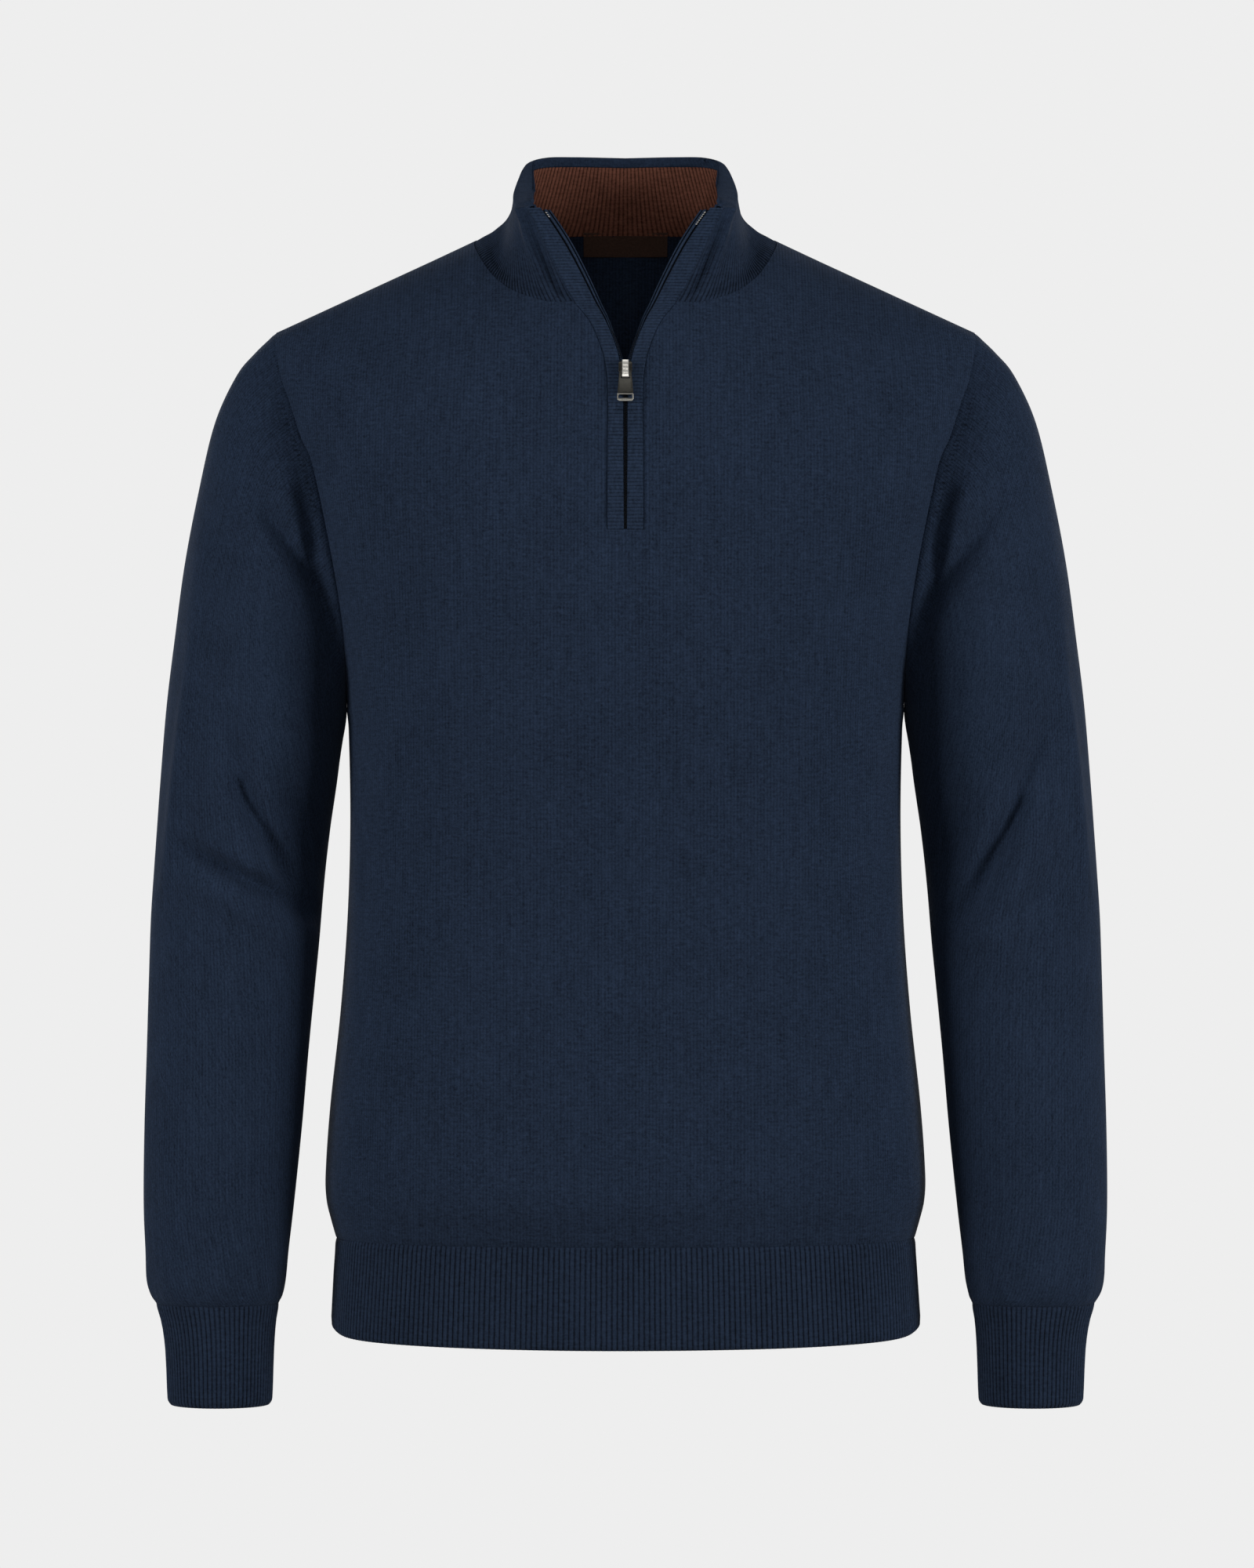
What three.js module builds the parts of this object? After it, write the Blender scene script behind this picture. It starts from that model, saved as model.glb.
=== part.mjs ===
// Quarter zip sweater in the shape it has when worn, with nobody in it: thin cloth walls,
// open neck, cuffs and hem. Millimetres, +Z up, the front faces -Y. The origin is at the
// middle of the neck, 2 mm above the points where collar and shoulder seams meet.
import * as THREE from "three";

const seamGap = 0.3;
const knitWall = 1.6;
const ribWall = 1.7;
const ribDepth = 0.42;
const liningWall = 1.1;
const tapeWall = 1.1;
const labelWall = 0.7;
const labelSize = { half: 26.3, top: 2.8, bottom: -8 };

const hemTop = -617;
const hemBottom = -679;
const hemRibs = 300;
const cuffRibs = 74;
const collarRibs = 148;

const underarmZ = -292;
const shoulderSlope = 0.46;
const neckSide = { x: 93.6, z: -2.2 };
const neckFlat = 70;
const ridgeY = 4;
const archDepth = 135;
const squareness = 2.5;

const sliderZ = -89;
const sliderLift = 1;
const sliderThick = 2.1;
const bridgeWide = 4.2;
const pullThick = 1.1;
const pullHinge = { out: 3.75, up: -2 };
const pullLean = 0.1;

const placketBottom = -185.2;
const bandHalf = 11.2;

// The torso from hem to neck: half its width, and how far its front and back stand out.
const torso = [
  { z: -617, half: 178.9, front: 113, back: 108 },
  { z: -606, half: 182, front: 116.5, back: 111.5 },
  { z: -595, half: 184.6, front: 120, back: 114.5 },
  { z: -580, half: 185.3, front: 121.5, back: 115.5 },
  { z: -537, half: 182.4, front: 120, back: 112 },
  { z: -479, half: 176.1, front: 118, back: 106 },
  { z: -420, half: 171.7, front: 117.5, back: 103 },
  { z: -362, half: 170, front: 120, back: 106 },
  { z: -304, half: 171, front: 124, back: 113 },
  { z: -292, half: 172.3, front: 124.5, back: 114.5 },
  { z: -234, half: 180, front: 125.5, back: 120 },
  { z: -191, half: 190, front: 124, back: 122.5 },
  { z: -143, half: 204, front: 119, back: 122 },
  { z: -100, half: 216, front: 112.5, back: 118 },
  { z: -59, half: 226, front: 105, back: 113 },
  { z: 7, half: 242, front: 94, back: 110 },
];

// The armhole seam of the wearer's right side, from shoulder point to underarm.
const armhole = [
  { x: 216.3, z: -58.7, front: 4, back: 4, backX: 216.3 },
  { x: 216.2, z: -67, front: -12, back: 17, backX: 217.5 },
  { x: 211.6, z: -88.6, front: -27, back: 30, backX: 214 },
  { x: 206.2, z: -103.5, front: -34.5, back: 36.5, backX: 210.5 },
  { x: 198.7, z: -126, front: -42, back: 43, backX: 204.5 },
  { x: 191.3, z: -143.4, front: -49, back: 49, backX: 199.5 },
  { x: 181.1, z: -191, front: -49.5, back: 51, backX: 189 },
  { x: 174.2, z: -234, front: -44, back: 46, backX: 180 },
  { x: 172, z: -266, front: -31, back: 32, backX: 174.5 },
  { x: 172.3, z: -292, front: 0, back: 0, backX: 172.3 },
];

// The collar, from its front end round to the middle of the back: the neck seam it is
// sewn to, its folded top edge, and how much its foot spreads over the shoulder.
const collar = [
  { x: 31, y: -87.5, z: -45.9, topX: 60.5, topY: -70, topZ: 13.4, spread: 0 },
  { x: 45.6, y: -84.5, z: -45.9, topX: 67.2, topY: -58, topZ: 13.9, spread: 0 },
  { x: 57.5, y: -79, z: -42.6, topX: 68.6, topY: -45, topZ: 18.6, spread: 0.1 },
  { x: 70.2, y: -70, z: -36.9, topX: 68.8, topY: -30, topZ: 24.6, spread: 0.3 },
  { x: 81.5, y: -55, z: -27, topX: 67.8, topY: -15, topZ: 31, spread: 0.6 },
  { x: 90.6, y: -29, z: -12.4, topX: 66.2, topY: 1, topZ: 38, spread: 0.9 },
  { x: 93.6, y: 4, z: -2.2, topX: 64, topY: 15, topZ: 44.5, spread: 1 },
  { x: 87, y: 22, z: 0, topX: 60, topY: 27, topZ: 49.6, spread: 0.8 },
  { x: 71, y: 38.5, z: 2.2, topX: 49.5, topY: 37.5, topZ: 52.9, spread: 0.5 },
  { x: 48, y: 51.5, z: 5.2, topX: 32.8, topY: 43.8, topZ: 53.7, spread: 0.3 },
  { x: 24, y: 58.6, z: 6.6, topX: 16.2, topY: 46.6, topZ: 53.7, spread: 0.2 },
  { x: 0, y: 60.8, z: 7, topX: 0, topY: 47.5, topZ: 53.4, spread: 0.2 },
];
const neckSideStation = 6;

// Rows up the collar: share of its rise, and of its way in, where the foot spreads and where
// it stands straight.
const collarRows = [
  { rise: 0, spreadIn: 0, plainIn: 0 },
  { rise: 0.14, spreadIn: 0.44, plainIn: 0.17 },
  { rise: 0.4, spreadIn: 0.74, plainIn: 0.43 },
  { rise: 1, spreadIn: 1, plainIn: 1 },
];

// The rib band down each side of the zip, from the foot of the placket up to the collar's
// corner: its sewn edge and the edge that meets the zip.
const band = [
  { z: -185, sewnX: 10.9, zipX: 0.9 },
  { z: -150, sewnX: 10.8, zipX: 1.2 },
  { z: -104, sewnX: 10.5, zipX: 1.5 },
  { z: -86, sewnX: 11.8, zipX: 3 },
  { z: -73, sewnX: 15, zipX: 6.1 },
  { z: -58.6, sewnX: 21.3, zipX: 11.8 },
  { z: -46, sewnX: 30.8, zipX: 18.4 },
  { z: -29.5, sewnX: 37.8, zipX: 26.5 },
  { z: -12.5, sewnX: 46.2, zipX: 35.5 },
  { z: 1.2, sewnX: 53.6, zipX: 44 },
  { z: 12.6, sewnX: 60, zipX: 51.8 },
];

// The sleeve, from just below the armhole to the cuff: its outer and inner edge in the front
// view, half its depth and how far forward it hangs.
const sleeve = [
  { outX: 216.3, outZ: -58.7, inX: 172.3, inZ: -292, half: 47, y: 0 },
  { outX: 229.6, outZ: -71.6, inX: 172.7, inZ: -297.5, half: 52.5, y: 0 },
  { outX: 241, outZ: -85.8, inX: 173.5, inZ: -303.5, half: 56.5, y: 0 },
  { outX: 254.1, outZ: -114.9, inX: 175, inZ: -312, half: 60.5, y: 0 },
  { outX: 264.3, outZ: -158.6, inX: 176.8, inZ: -324, half: 63.5, y: 0 },
  { outX: 272.5, outZ: -202.2, inX: 178.3, inZ: -336, half: 64.5, y: -1 },
  { outX: 278.3, outZ: -245.9, inX: 180.3, inZ: -350, half: 64, y: -2 },
  { outX: 283.5, outZ: -289.5, inX: 182.3, inZ: -364, half: 62.5, y: -3.5 },
  { outX: 287.2, outZ: -336, inX: 184.6, inZ: -384, half: 59.5, y: -6 },
  { outX: 289.2, outZ: -366, inX: 186.1, inZ: -400, half: 57, y: -8.5 },
  { outX: 290.8, outZ: -391, inX: 187.3, inZ: -415, half: 55, y: -11 },
  { outX: 292.5, outZ: -420, inX: 188.9, inZ: -436, half: 52.5, y: -14 },
  { outX: 293.4, outZ: -455, inX: 191.3, inZ: -462, half: 50, y: -18 },
  { outX: 294.4, outZ: -500, inX: 195, inZ: -502, half: 47.5, y: -22.5 },
  { outX: 295.6, outZ: -548, inX: 198.8, inZ: -548, half: 45.5, y: -26.5 },
  { outX: 295.9, outZ: -592, inX: 203.2, inZ: -592, half: 44, y: -29.5 },
  { outX: 294.6, outZ: -620, inX: 206.6, inZ: -620, half: 42, y: -31 },
  { outX: 291.9, outZ: -644, inX: 210.4, inZ: -644, half: 39.2, y: -31.8 },
  { outX: 286.2, outZ: -655.7, inX: 214.2, inZ: -655.7, half: 35, y: -32 },
];
const cuff = [
  { z: -656, outX: 285.4, inX: 214.4, half: 35, y: -32 },
  { z: -718.5, outX: 280, inX: 218.8, half: 32.5, y: -32 },
];
const cuffGathers = 8;
const gatherDepth = 0.9;

// Creases of the cloth as seen from the front or the back: from one point to another, how
// wide and how deep; a negative depth is a ridge. Side 1 is the wearer's left.
const creases = [
  { on: "sleeve", side: -1, face: -1, x1: -249, z1: -330, x2: -196, z2: -418, wide: 12, deep: 6.5 },
  { on: "sleeve", side: -1, face: -1, x1: -264, z1: -380, x2: -220, z2: -413, wide: 9, deep: 3.5 },
  { on: "sleeve", side: -1, face: -1, x1: -231, z1: -158, x2: -196, z2: -225, wide: 13, deep: 3.2 },
  { on: "sleeve", side: -1, face: -1, x1: -262, z1: -395, x2: -213, z2: -352, wide: 12, deep: -3 },
  { on: "sleeve", side: -1, face: 1, x1: -268, z1: -352, x2: -205, z2: -402, wide: 12, deep: 4.5 },
  { on: "sleeve", side: -1, face: 1, x1: -240, z1: -180, x2: -200, z2: -262, wide: 13, deep: 3 },
  { on: "sleeve", side: 1, face: -1, x1: 256, z1: -305, x2: 213, z2: -415, wide: 12, deep: 6 },
  { on: "sleeve", side: 1, face: -1, x1: 266, z1: -392, x2: 226, z2: -425, wide: 9, deep: 3 },
  { on: "sleeve", side: 1, face: -1, x1: 230, z1: -165, x2: 198, z2: -236, wide: 13, deep: 2.8 },
  { on: "sleeve", side: 1, face: 1, x1: 262, z1: -366, x2: 202, z2: -408, wide: 12, deep: 4.5 },
  { on: "sleeve", side: 1, face: 1, x1: 242, z1: -190, x2: 204, z2: -255, wide: 13, deep: 2.6 },
  { on: "body", side: -1, face: -1, x1: -164, z1: -532, x2: -172, z2: -592, wide: 9, deep: -2.2 },
  { on: "body", side: 1, face: -1, x1: 164, z1: -528, x2: 172, z2: -590, wide: 9, deep: -2.2 },
  { on: "body", side: -1, face: -1, x1: -160, z1: -215, x2: -128, z2: -300, wide: 18, deep: 2.4 },
  { on: "body", side: 1, face: -1, x1: 160, z1: -215, x2: 130, z2: -292, wide: 18, deep: 2.2 },
  { on: "body", side: -1, face: 1, x1: -158, z1: -210, x2: -118, z2: -310, wide: 20, deep: 2.6 },
  { on: "body", side: 1, face: 1, x1: 158, z1: -210, x2: 122, z2: -302, wide: 20, deep: 2.4 },
];

const panelSteps = 8;
const bandSteps = 20;
const armholeSteps = 11;
const slotRow = 3;
const collarRow = 7;
const backNeckRow = 7;
const lowerRows = [-616.85, -606, -594, -578, -552, -515, -472, -425, -380, -335, -292];

const navyKnit = { color: 0x1e2a3d, roughness: 0.9, metalness: 0 };
const navyRib = { color: 0x18222f, roughness: 0.92, metalness: 0 };
const brownRib = { color: 0x442a22, roughness: 0.92, metalness: 0 };
const navyTape = { color: 0x10141f, roughness: 0.8, metalness: 0 };
const labelCloth = { color: 0x1a100d, roughness: 0.75, metalness: 0 };
const gunmetal = { color: 0x55544f, roughness: 0.38, metalness: 1 };
const bright = { color: 0xc9c8c4, roughness: 0.22, metalness: 1 };

const mix = (a, b, t) => a + (b - a) * t;
const point = (x, y, z) => new THREE.Vector3(x, y, z);
const clamp = (t) => Math.min(1, Math.max(0, t));
const placeOf = (p) => [p.x, p.y, p.z].map((v) => Math.round(v * 200) + 0).join(" ");

// A smooth curve through one column of a table, at position u counted in rows.
function columnAt(rows, column, u) {
  const i = Math.min(rows.length - 2, Math.max(0, Math.floor(u)));
  const t = u - i;
  const at = (k) => rows[Math.min(rows.length - 1, Math.max(0, k))][column];
  const m0 = (at(i + 1) - at(i - 1)) / (i > 0 ? 2 : 1);
  const m1 = (at(i + 2) - at(i)) / (i < rows.length - 2 ? 2 : 1);
  const t2 = t * t;
  const t3 = t2 * t;
  return (
    (2 * t3 - 3 * t2 + 1) * at(i) + (t3 - 2 * t2 + t) * m0 +
    (3 * t2 - 2 * t3) * at(i + 1) + (t3 - t2) * m1
  );
}

// The position, counted in rows, where a rising or falling key column has a value.
function rowOf(rows, key, value) {
  const up = rows[rows.length - 1][key] > rows[0][key] ? 1 : -1;
  let i = 0;
  while (i < rows.length - 2 && up * value > up * rows[i + 1][key]) {
    i += 1;
  }
  return i + clamp((value - rows[i][key]) / (rows[i + 1][key] - rows[i][key]));
}

// Between the rows of an unevenly spaced table, straight in the key and eased at the rows.
function valueAt(rows, key, column, value) {
  const u = rowOf(rows, key, value);
  const i = Math.min(rows.length - 2, Math.floor(u));
  const slope = (k) => {
    const a = rows[Math.max(0, k - 1)];
    const b = rows[Math.min(rows.length - 1, k + 1)];
    return (b[column] - a[column]) / (b[key] - a[key]);
  };
  const h = rows[i + 1][key] - rows[i][key];
  const t = u - i;
  const t2 = t * t;
  const t3 = t2 * t;
  return (
    (2 * t3 - 3 * t2 + 1) * rows[i][column] + (t3 - 2 * t2 + t) * h * slope(i) +
    (3 * t2 - 2 * t3) * rows[i + 1][column] + (t3 - t2) * h * slope(i + 1)
  );
}

// Points spread evenly along a curve that has been sampled finely.
function evenly(curveAt, from, to, steps) {
  const fine = 200;
  const samples = [];
  for (let i = 0; i <= fine; i += 1) {
    samples.push(curveAt(mix(from, to, i / fine)));
  }
  const lengths = [0];
  for (let i = 1; i <= fine; i += 1) {
    lengths.push(lengths[i - 1] + samples[i].distanceTo(samples[i - 1]));
  }
  const out = [];
  for (let k = 0; k <= steps; k += 1) {
    const want = (lengths[fine] * k) / steps;
    let i = 1;
    while (i < fine && lengths[i] < want) {
      i += 1;
    }
    const t = clamp((want - lengths[i - 1]) / (lengths[i] - lengths[i - 1]));
    out.push(samples[i - 1].clone().lerp(samples[i], t));
  }
  return out;
}

// How far out the torso's front (face -1) or back (face 1) stands at a place.
function torsoY(x, z, face) {
  const half = valueAt(torso, "z", "half", z);
  const out = valueAt(torso, "z", face < 0 ? "front" : "back", z);
  const full = out * Math.pow(Math.max(0, 1 - Math.pow(Math.abs(x) / half, squareness)), 1 / squareness);
  const across = Math.abs(x) > neckFlat ? Math.abs(x) : (x * x + neckFlat * neckFlat) / (2 * neckFlat);
  const ridge = neckSide.z + (neckSide.x - across) * shoulderSlope;
  const down = clamp((ridge - z) / archDepth);
  const arch = Math.sqrt(1 - (1 - down) * (1 - down));
  return ridgeY * (1 - arch) + face * full * arch;
}

// How deep the creases are at a place on one face of a piece.
function creaseAt(on, side, face, x, z) {
  let sum = 0;
  for (const c of creases) {
    if (c.on !== on || c.side !== side || c.face !== face) {
      continue;
    }
    const dx = c.x2 - c.x1;
    const dz = c.z2 - c.z1;
    const long = Math.hypot(dx, dz);
    const along = ((x - c.x1) * dx + (z - c.z1) * dz) / (long * long);
    const t = clamp(along);
    const away = Math.hypot(x - c.x1 - t * dx, z - c.z1 - t * dz);
    const fade = Math.sin(Math.PI * mix(0.14, 0.86, t));
    sum += c.deep * fade * Math.exp(-(away * away) / (c.wide * c.wide));
  }
  return sum;
}

const armholeAt = (face) => (u) =>
  point(
    columnAt(armhole, face < 0 ? "x" : "backX", u),
    columnAt(armhole, face < 0 ? "front" : "back", u),
    columnAt(armhole, "z", u),
  );
const armholePoints = (face) => evenly(armholeAt(face), 0, armhole.length - 1, armholeSteps);
const neckAt = (u) => point(columnAt(collar, "x", u), columnAt(collar, "y", u), columnAt(collar, "z", u));

// The inner edge of half a panel above the underarm: the middle line or the placket's slot,
// then the neck seam up to the shoulder.
function innerEdge(face) {
  const out = [];
  if (face < 0) {
    for (let k = 0; k < collarRow; k += 1) {
      const z = k <= slotRow
        ? mix(underarmZ, placketBottom, k / slotRow)
        : mix(placketBottom, collar[0].z, (k - slotRow) / (collarRow - slotRow));
      const x = k <= slotRow ? bandHalf : valueAt(band, "z", "sewnX", z) + seamGap;
      out.push(point(x, torsoY(x, z, face), z));
    }
    return out.concat(evenly(neckAt, 0, neckSideStation, armholeSteps - collarRow));
  }
  for (let k = 0; k < backNeckRow; k += 1) {
    const z = mix(underarmZ, collar[collar.length - 1].z, k / backNeckRow);
    out.push(point(0, torsoY(0, z, face), z));
  }
  return out.concat(evenly(neckAt, collar.length - 1, neckSideStation, armholeSteps - backNeckRow));
}

// The neck edge that the two panels have between them, from the placket round to the middle
// of the back, with the way the cloth faces at each of its corners.
const neckRim = (() => {
  const fronts = innerEdge(-1).slice(collarRow);
  const backs = innerEdge(1).slice(backNeckRow).reverse().slice(1);
  const corners = fronts.concat(backs);
  return corners.map((p, i) => {
    const face = i < fronts.length ? -1 : 1;
    const away = point(p.x, 0, p.z - 20).normalize().multiplyScalar(6);
    const q = p.clone().add(away);
    q.y = p.y + torsoY(q.x, q.z, face) - torsoY(p.x, p.z, face);
    const before = corners[Math.max(0, i - 1)];
    const after = corners[Math.min(corners.length - 1, i + 1)];
    const normal = after.clone().sub(before).cross(q.sub(p)).normalize();
    if (normal.dot(point(p.x, p.y, p.z + 150)) < 0) {
      normal.negate();
    }
    if (i === corners.length - 1) {
      normal.setX(0).normalize();
    }
    return { at: p, normal };
  });
})();

// The place on the neck edge nearest to a point, its facing and the way up off the panel.
function onNeckRim(p) {
  let best = null;
  for (let i = 0; i + 1 < neckRim.length; i += 1) {
    const a = neckRim[i];
    const b = neckRim[i + 1];
    const run = b.at.clone().sub(a.at);
    const t = clamp(p.clone().sub(a.at).dot(run) / run.lengthSq());
    const at = a.at.clone().addScaledVector(run, t);
    const far = at.distanceTo(p);
    if (!best || far < best.far) {
      const normal = a.normal.clone().lerp(b.normal, t).normalize();
      const off = normal.clone().cross(run).normalize();
      const inward = off.dot(point(-at.x, 20 - at.y, 60 - at.z)) > 0;
      best = { far, at, normal, off: inward ? off : off.negate() };
    }
  }
  return best;
}

// One sheet of cloth: points and triangles, with its outside found from an inside point.
function newSheet(insideOf) {
  return { points: [], faces: [], insideOf, places: new Map() };
}

function addPoint(sheet, p) {
  const key = placeOf(p);
  if (!sheet.places.has(key)) {
    sheet.places.set(key, sheet.points.length);
    sheet.points.push(p.clone());
  }
  return sheet.places.get(key);
}

function addFace(sheet, a, b, c) {
  const pa = sheet.points[a];
  const pb = sheet.points[b];
  const pc = sheet.points[c];
  const normal = pb.clone().sub(pa).cross(pc.clone().sub(pa));
  const middle = pa.clone().add(pb).add(pc).divideScalar(3);
  const outward = normal.dot(middle.clone().sub(sheet.insideOf(middle))) > 0;
  sheet.faces.push(outward ? [a, b, c] : [a, c, b]);
}

function addQuad(sheet, a, b, c, d) {
  addFace(sheet, a, b, c);
  addFace(sheet, a, c, d);
}

// Front or back: both halves of the panel, rows from the hem seam up to the shoulder seam.
function panelSheet(face) {
  const sheet = newSheet((p) => point(p.x * 0.6, 0, Math.min(p.z, -60)));
  const inner = innerEdge(face);
  const outer = armholePoints(face).reverse();
  const spread = [];
  for (let k = 0; k <= panelSteps; k += 1) {
    spread.push(Math.pow(Math.sin((Math.PI / 2) * (k / panelSteps)), 0.86));
  }
  for (const side of [-1, 1]) {
    const rows = [];
    for (const z of lowerRows) {
      const half = valueAt(torso, "z", "half", z);
      const row = spread.map((w, k) => {
        const x = face < 0 ? mix(bandHalf, half, w) : half * w;
        const y = k === panelSteps ? 0 : torsoY(x, z, face);
        const crease = (1 - Math.pow(w, 8)) * creaseAt("body", side, face, side * x, z);
        return point(side * x, y - face * crease, z);
      });
      rows.push(face < 0 ? [point(0, torsoY(0, z, face), z), ...row] : row);
    }
    for (let k = 1; k <= armholeSteps; k += 1) {
      const a = inner[k];
      const b = outer[k];
      const offA = a.y - torsoY(a.x, a.z, face);
      const offB = b.y - torsoY(b.x, b.z, face);
      const row = spread.map((w) => {
        const x = mix(a.x, b.x, w);
        const z = mix(a.z, b.z, w);
        const atRidge = k === armholeSteps;
        const fit = atRidge ? 0 : offA * Math.pow(1 - w, 2) + offB * Math.pow(w, 6);
        const inside = (1 - Math.pow(w, 8)) * (1 - Math.pow(1 - w, 8));
        const crease = inside * creaseAt("body", side, face, side * x, z);
        const y = atRidge ? ridgeY : torsoY(x, z, face) + fit;
        return point(side * x, y - face * crease, z);
      });
      rows.push(face < 0 && k <= slotRow ? [point(0, torsoY(0, a.z, face), a.z), ...row] : row);
    }
    const ids = rows.map((row) => row.map((p) => addPoint(sheet, p)));
    for (let r = 0; r + 1 < ids.length; r += 1) {
      const low = ids[r];
      const high = ids[r + 1];
      const columns = Math.min(low.length, high.length);
      for (let c = 0; c + 1 < columns; c += 1) {
        const i = low.length - columns + c;
        const j = high.length - columns + c;
        addQuad(sheet, low[i], low[i + 1], high[j + 1], high[j]);
      }
    }
  }
  return sheet;
}

// The ring of a sleeve at one row of its table; ring 0 is the armhole seam itself.
function sleeveRing(row, side) {
  const s = sleeve[row];
  const first = sleeve[0];
  const ring = [];
  const around = armholeSteps * 2;
  const seams = [armholePoints(-1), armholePoints(1)];
  const ellipse = (r, angle, step) =>
    point(
      mix(r.outX, r.inX, (1 - Math.cos(angle)) / 2),
      r.y - r.half * Math.sin(angle) * step,
      mix(r.outZ, r.inZ, (1 - Math.cos(angle)) / 2),
    );
  for (let k = 0; k < around; k += 1) {
    const front = k <= armholeSteps;
    const n = front ? k : around - k;
    const angle = (Math.PI * n) / armholeSteps;
    const step = front ? 1 : -1;
    const p = ellipse(s, angle, step);
    const seam = seams[front ? 0 : 1][n];
    const off = seam.clone().sub(ellipse(first, angle, step));
    p.addScaledVector(off, Math.pow(0.62, row));
    const near = row + 2 >= sleeve.length ? 1 : row + 3 === sleeve.length ? 0.6 : 0;
    const middle = point((s.outX + s.inX) / 2, s.y, (s.outZ + s.inZ) / 2);
    const outward = p.clone().sub(middle).normalize();
    const gather = row === sleeve.length - 1 ? 0 : near * gatherDepth * Math.cos(cuffGathers * 2 * Math.PI * (k / around));
    const turn = Math.abs(Math.sin(angle));
    const crease = row === 0 ? 0 : turn * creaseAt("sleeve", side, -step, side * p.x, p.z);
    p.addScaledVector(outward, gather - crease);
    ring.push(point(side * p.x, p.y, p.z));
  }
  return ring;
}

function sleeveSheet(side) {
  const sheet = newSheet((p) => {
    const u = rowOf(sleeve, "inZ", Math.min(p.z, -292));
    const axis = (columnAt(sleeve, "outX", u) + columnAt(sleeve, "inX", u)) / 2;
    const high = p.z > -292;
    return point(side * (high ? mix(205, axis, 0.4) : axis), columnAt(sleeve, "y", u), high ? -200 : p.z);
  });
  const rings = sleeve.map((_, row) => sleeveRing(row, side).map((p) => addPoint(sheet, p)));
  for (let r = 0; r + 1 < rings.length; r += 1) {
    for (let k = 0; k < rings[r].length; k += 1) {
      const n = (k + 1) % rings[r].length;
      addQuad(sheet, rings[r][k], rings[r][n], rings[r + 1][n], rings[r + 1][k]);
    }
  }
  return sheet;
}

// The way each point faces, so that cut edges meet squarely: halfway between torso and sleeve
// where they are sewn together, and drawn out a little where they fold onto each other.
function facing(groups) {
  const sums = groups.map((sheets) => {
    const sum = new Map();
    for (const sheet of sheets) {
      for (const face of sheet.faces) {
        const [a, b, c] = face.map((i) => sheet.points[i]);
        const normal = b.clone().sub(a).cross(c.clone().sub(a));
        for (const i of face) {
          const key = placeOf(sheet.points[i]);
          sum.set(key, (sum.get(key) || point(0, 0, 0)).add(normal));
        }
      }
    }
    return sum;
  });
  return (p) => {
    const mirrored = point(Math.abs(p.x), p.y, p.z);
    const corner = neckRim.find((c) => c.at.distanceTo(mirrored) < 0.02);
    if (corner) {
      return corner.normal.clone().multiply(point(p.x < 0 ? -1 : 1, 1, 1));
    }
    const key = placeOf(p);
    const ways = sums.filter((sum) => sum.has(key)).map((sum) => sum.get(key).clone().normalize());
    const between = ways.reduce((all, way) => all.add(way), point(0, 0, 0)).normalize();
    return between.divideScalar(Math.max(0.55, between.dot(ways[0])));
  };
}

// A wall of cloth: the sheet, its copy moved inwards, and the cut edges between them.
function wallOf(sheet, thickness, normalAt, shift) {
  const edges = new Map();
  for (const [a, b, c] of sheet.faces) {
    for (const [i, j] of [[a, b], [b, c], [c, a]]) {
      edges.set(i + " " + j, [i, j]);
    }
  }
  const rim = [...edges.values()].filter(([i, j]) => !edges.has(j + " " + i));
  const onRim = new Set(rim.flat());
  const outer = [];
  const inner = [];
  sheet.points.forEach((p, i) => {
    const n = normalAt(p);
    const q = p.clone();
    if (onRim.has(i)) {
      q.add(shift(i));
    }
    outer.push(q);
    inner.push(q.clone().addScaledVector(n, -thickness));
  });
  const all = outer.concat(inner);
  const count = outer.length;
  const faces = [];
  for (const [a, b, c] of sheet.faces) {
    faces.push([a, b, c], [a + count, c + count, b + count]);
  }
  for (const [i, j] of rim) {
    if (sheet.points[i].z > sheet.points[j].z) {
      faces.push([j, i, j + count], [i, i + count, j + count]);
    } else {
      faces.push([j, i, i + count], [j, i + count, j + count]);
    }
  }
  return geometryOf(all, faces);
}

function geometryOf(points, faces) {
  const geometry = new THREE.BufferGeometry();
  const positions = new Float32Array(points.length * 3);
  points.forEach((p, i) => p.toArray(positions, i * 3));
  geometry.setAttribute("position", new THREE.BufferAttribute(positions, 3));
  let volume = 0;
  for (const face of faces) {
    const [a, b, c] = face.map((i) => points[i]);
    volume += a.dot(b.clone().cross(c));
  }
  const turned = volume < 0 ? faces.map(([a, b, c]) => [a, c, b]) : faces;
  geometry.setIndex(turned.flat());
  geometry.computeVertexNormals();
  return geometry;
}

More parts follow.
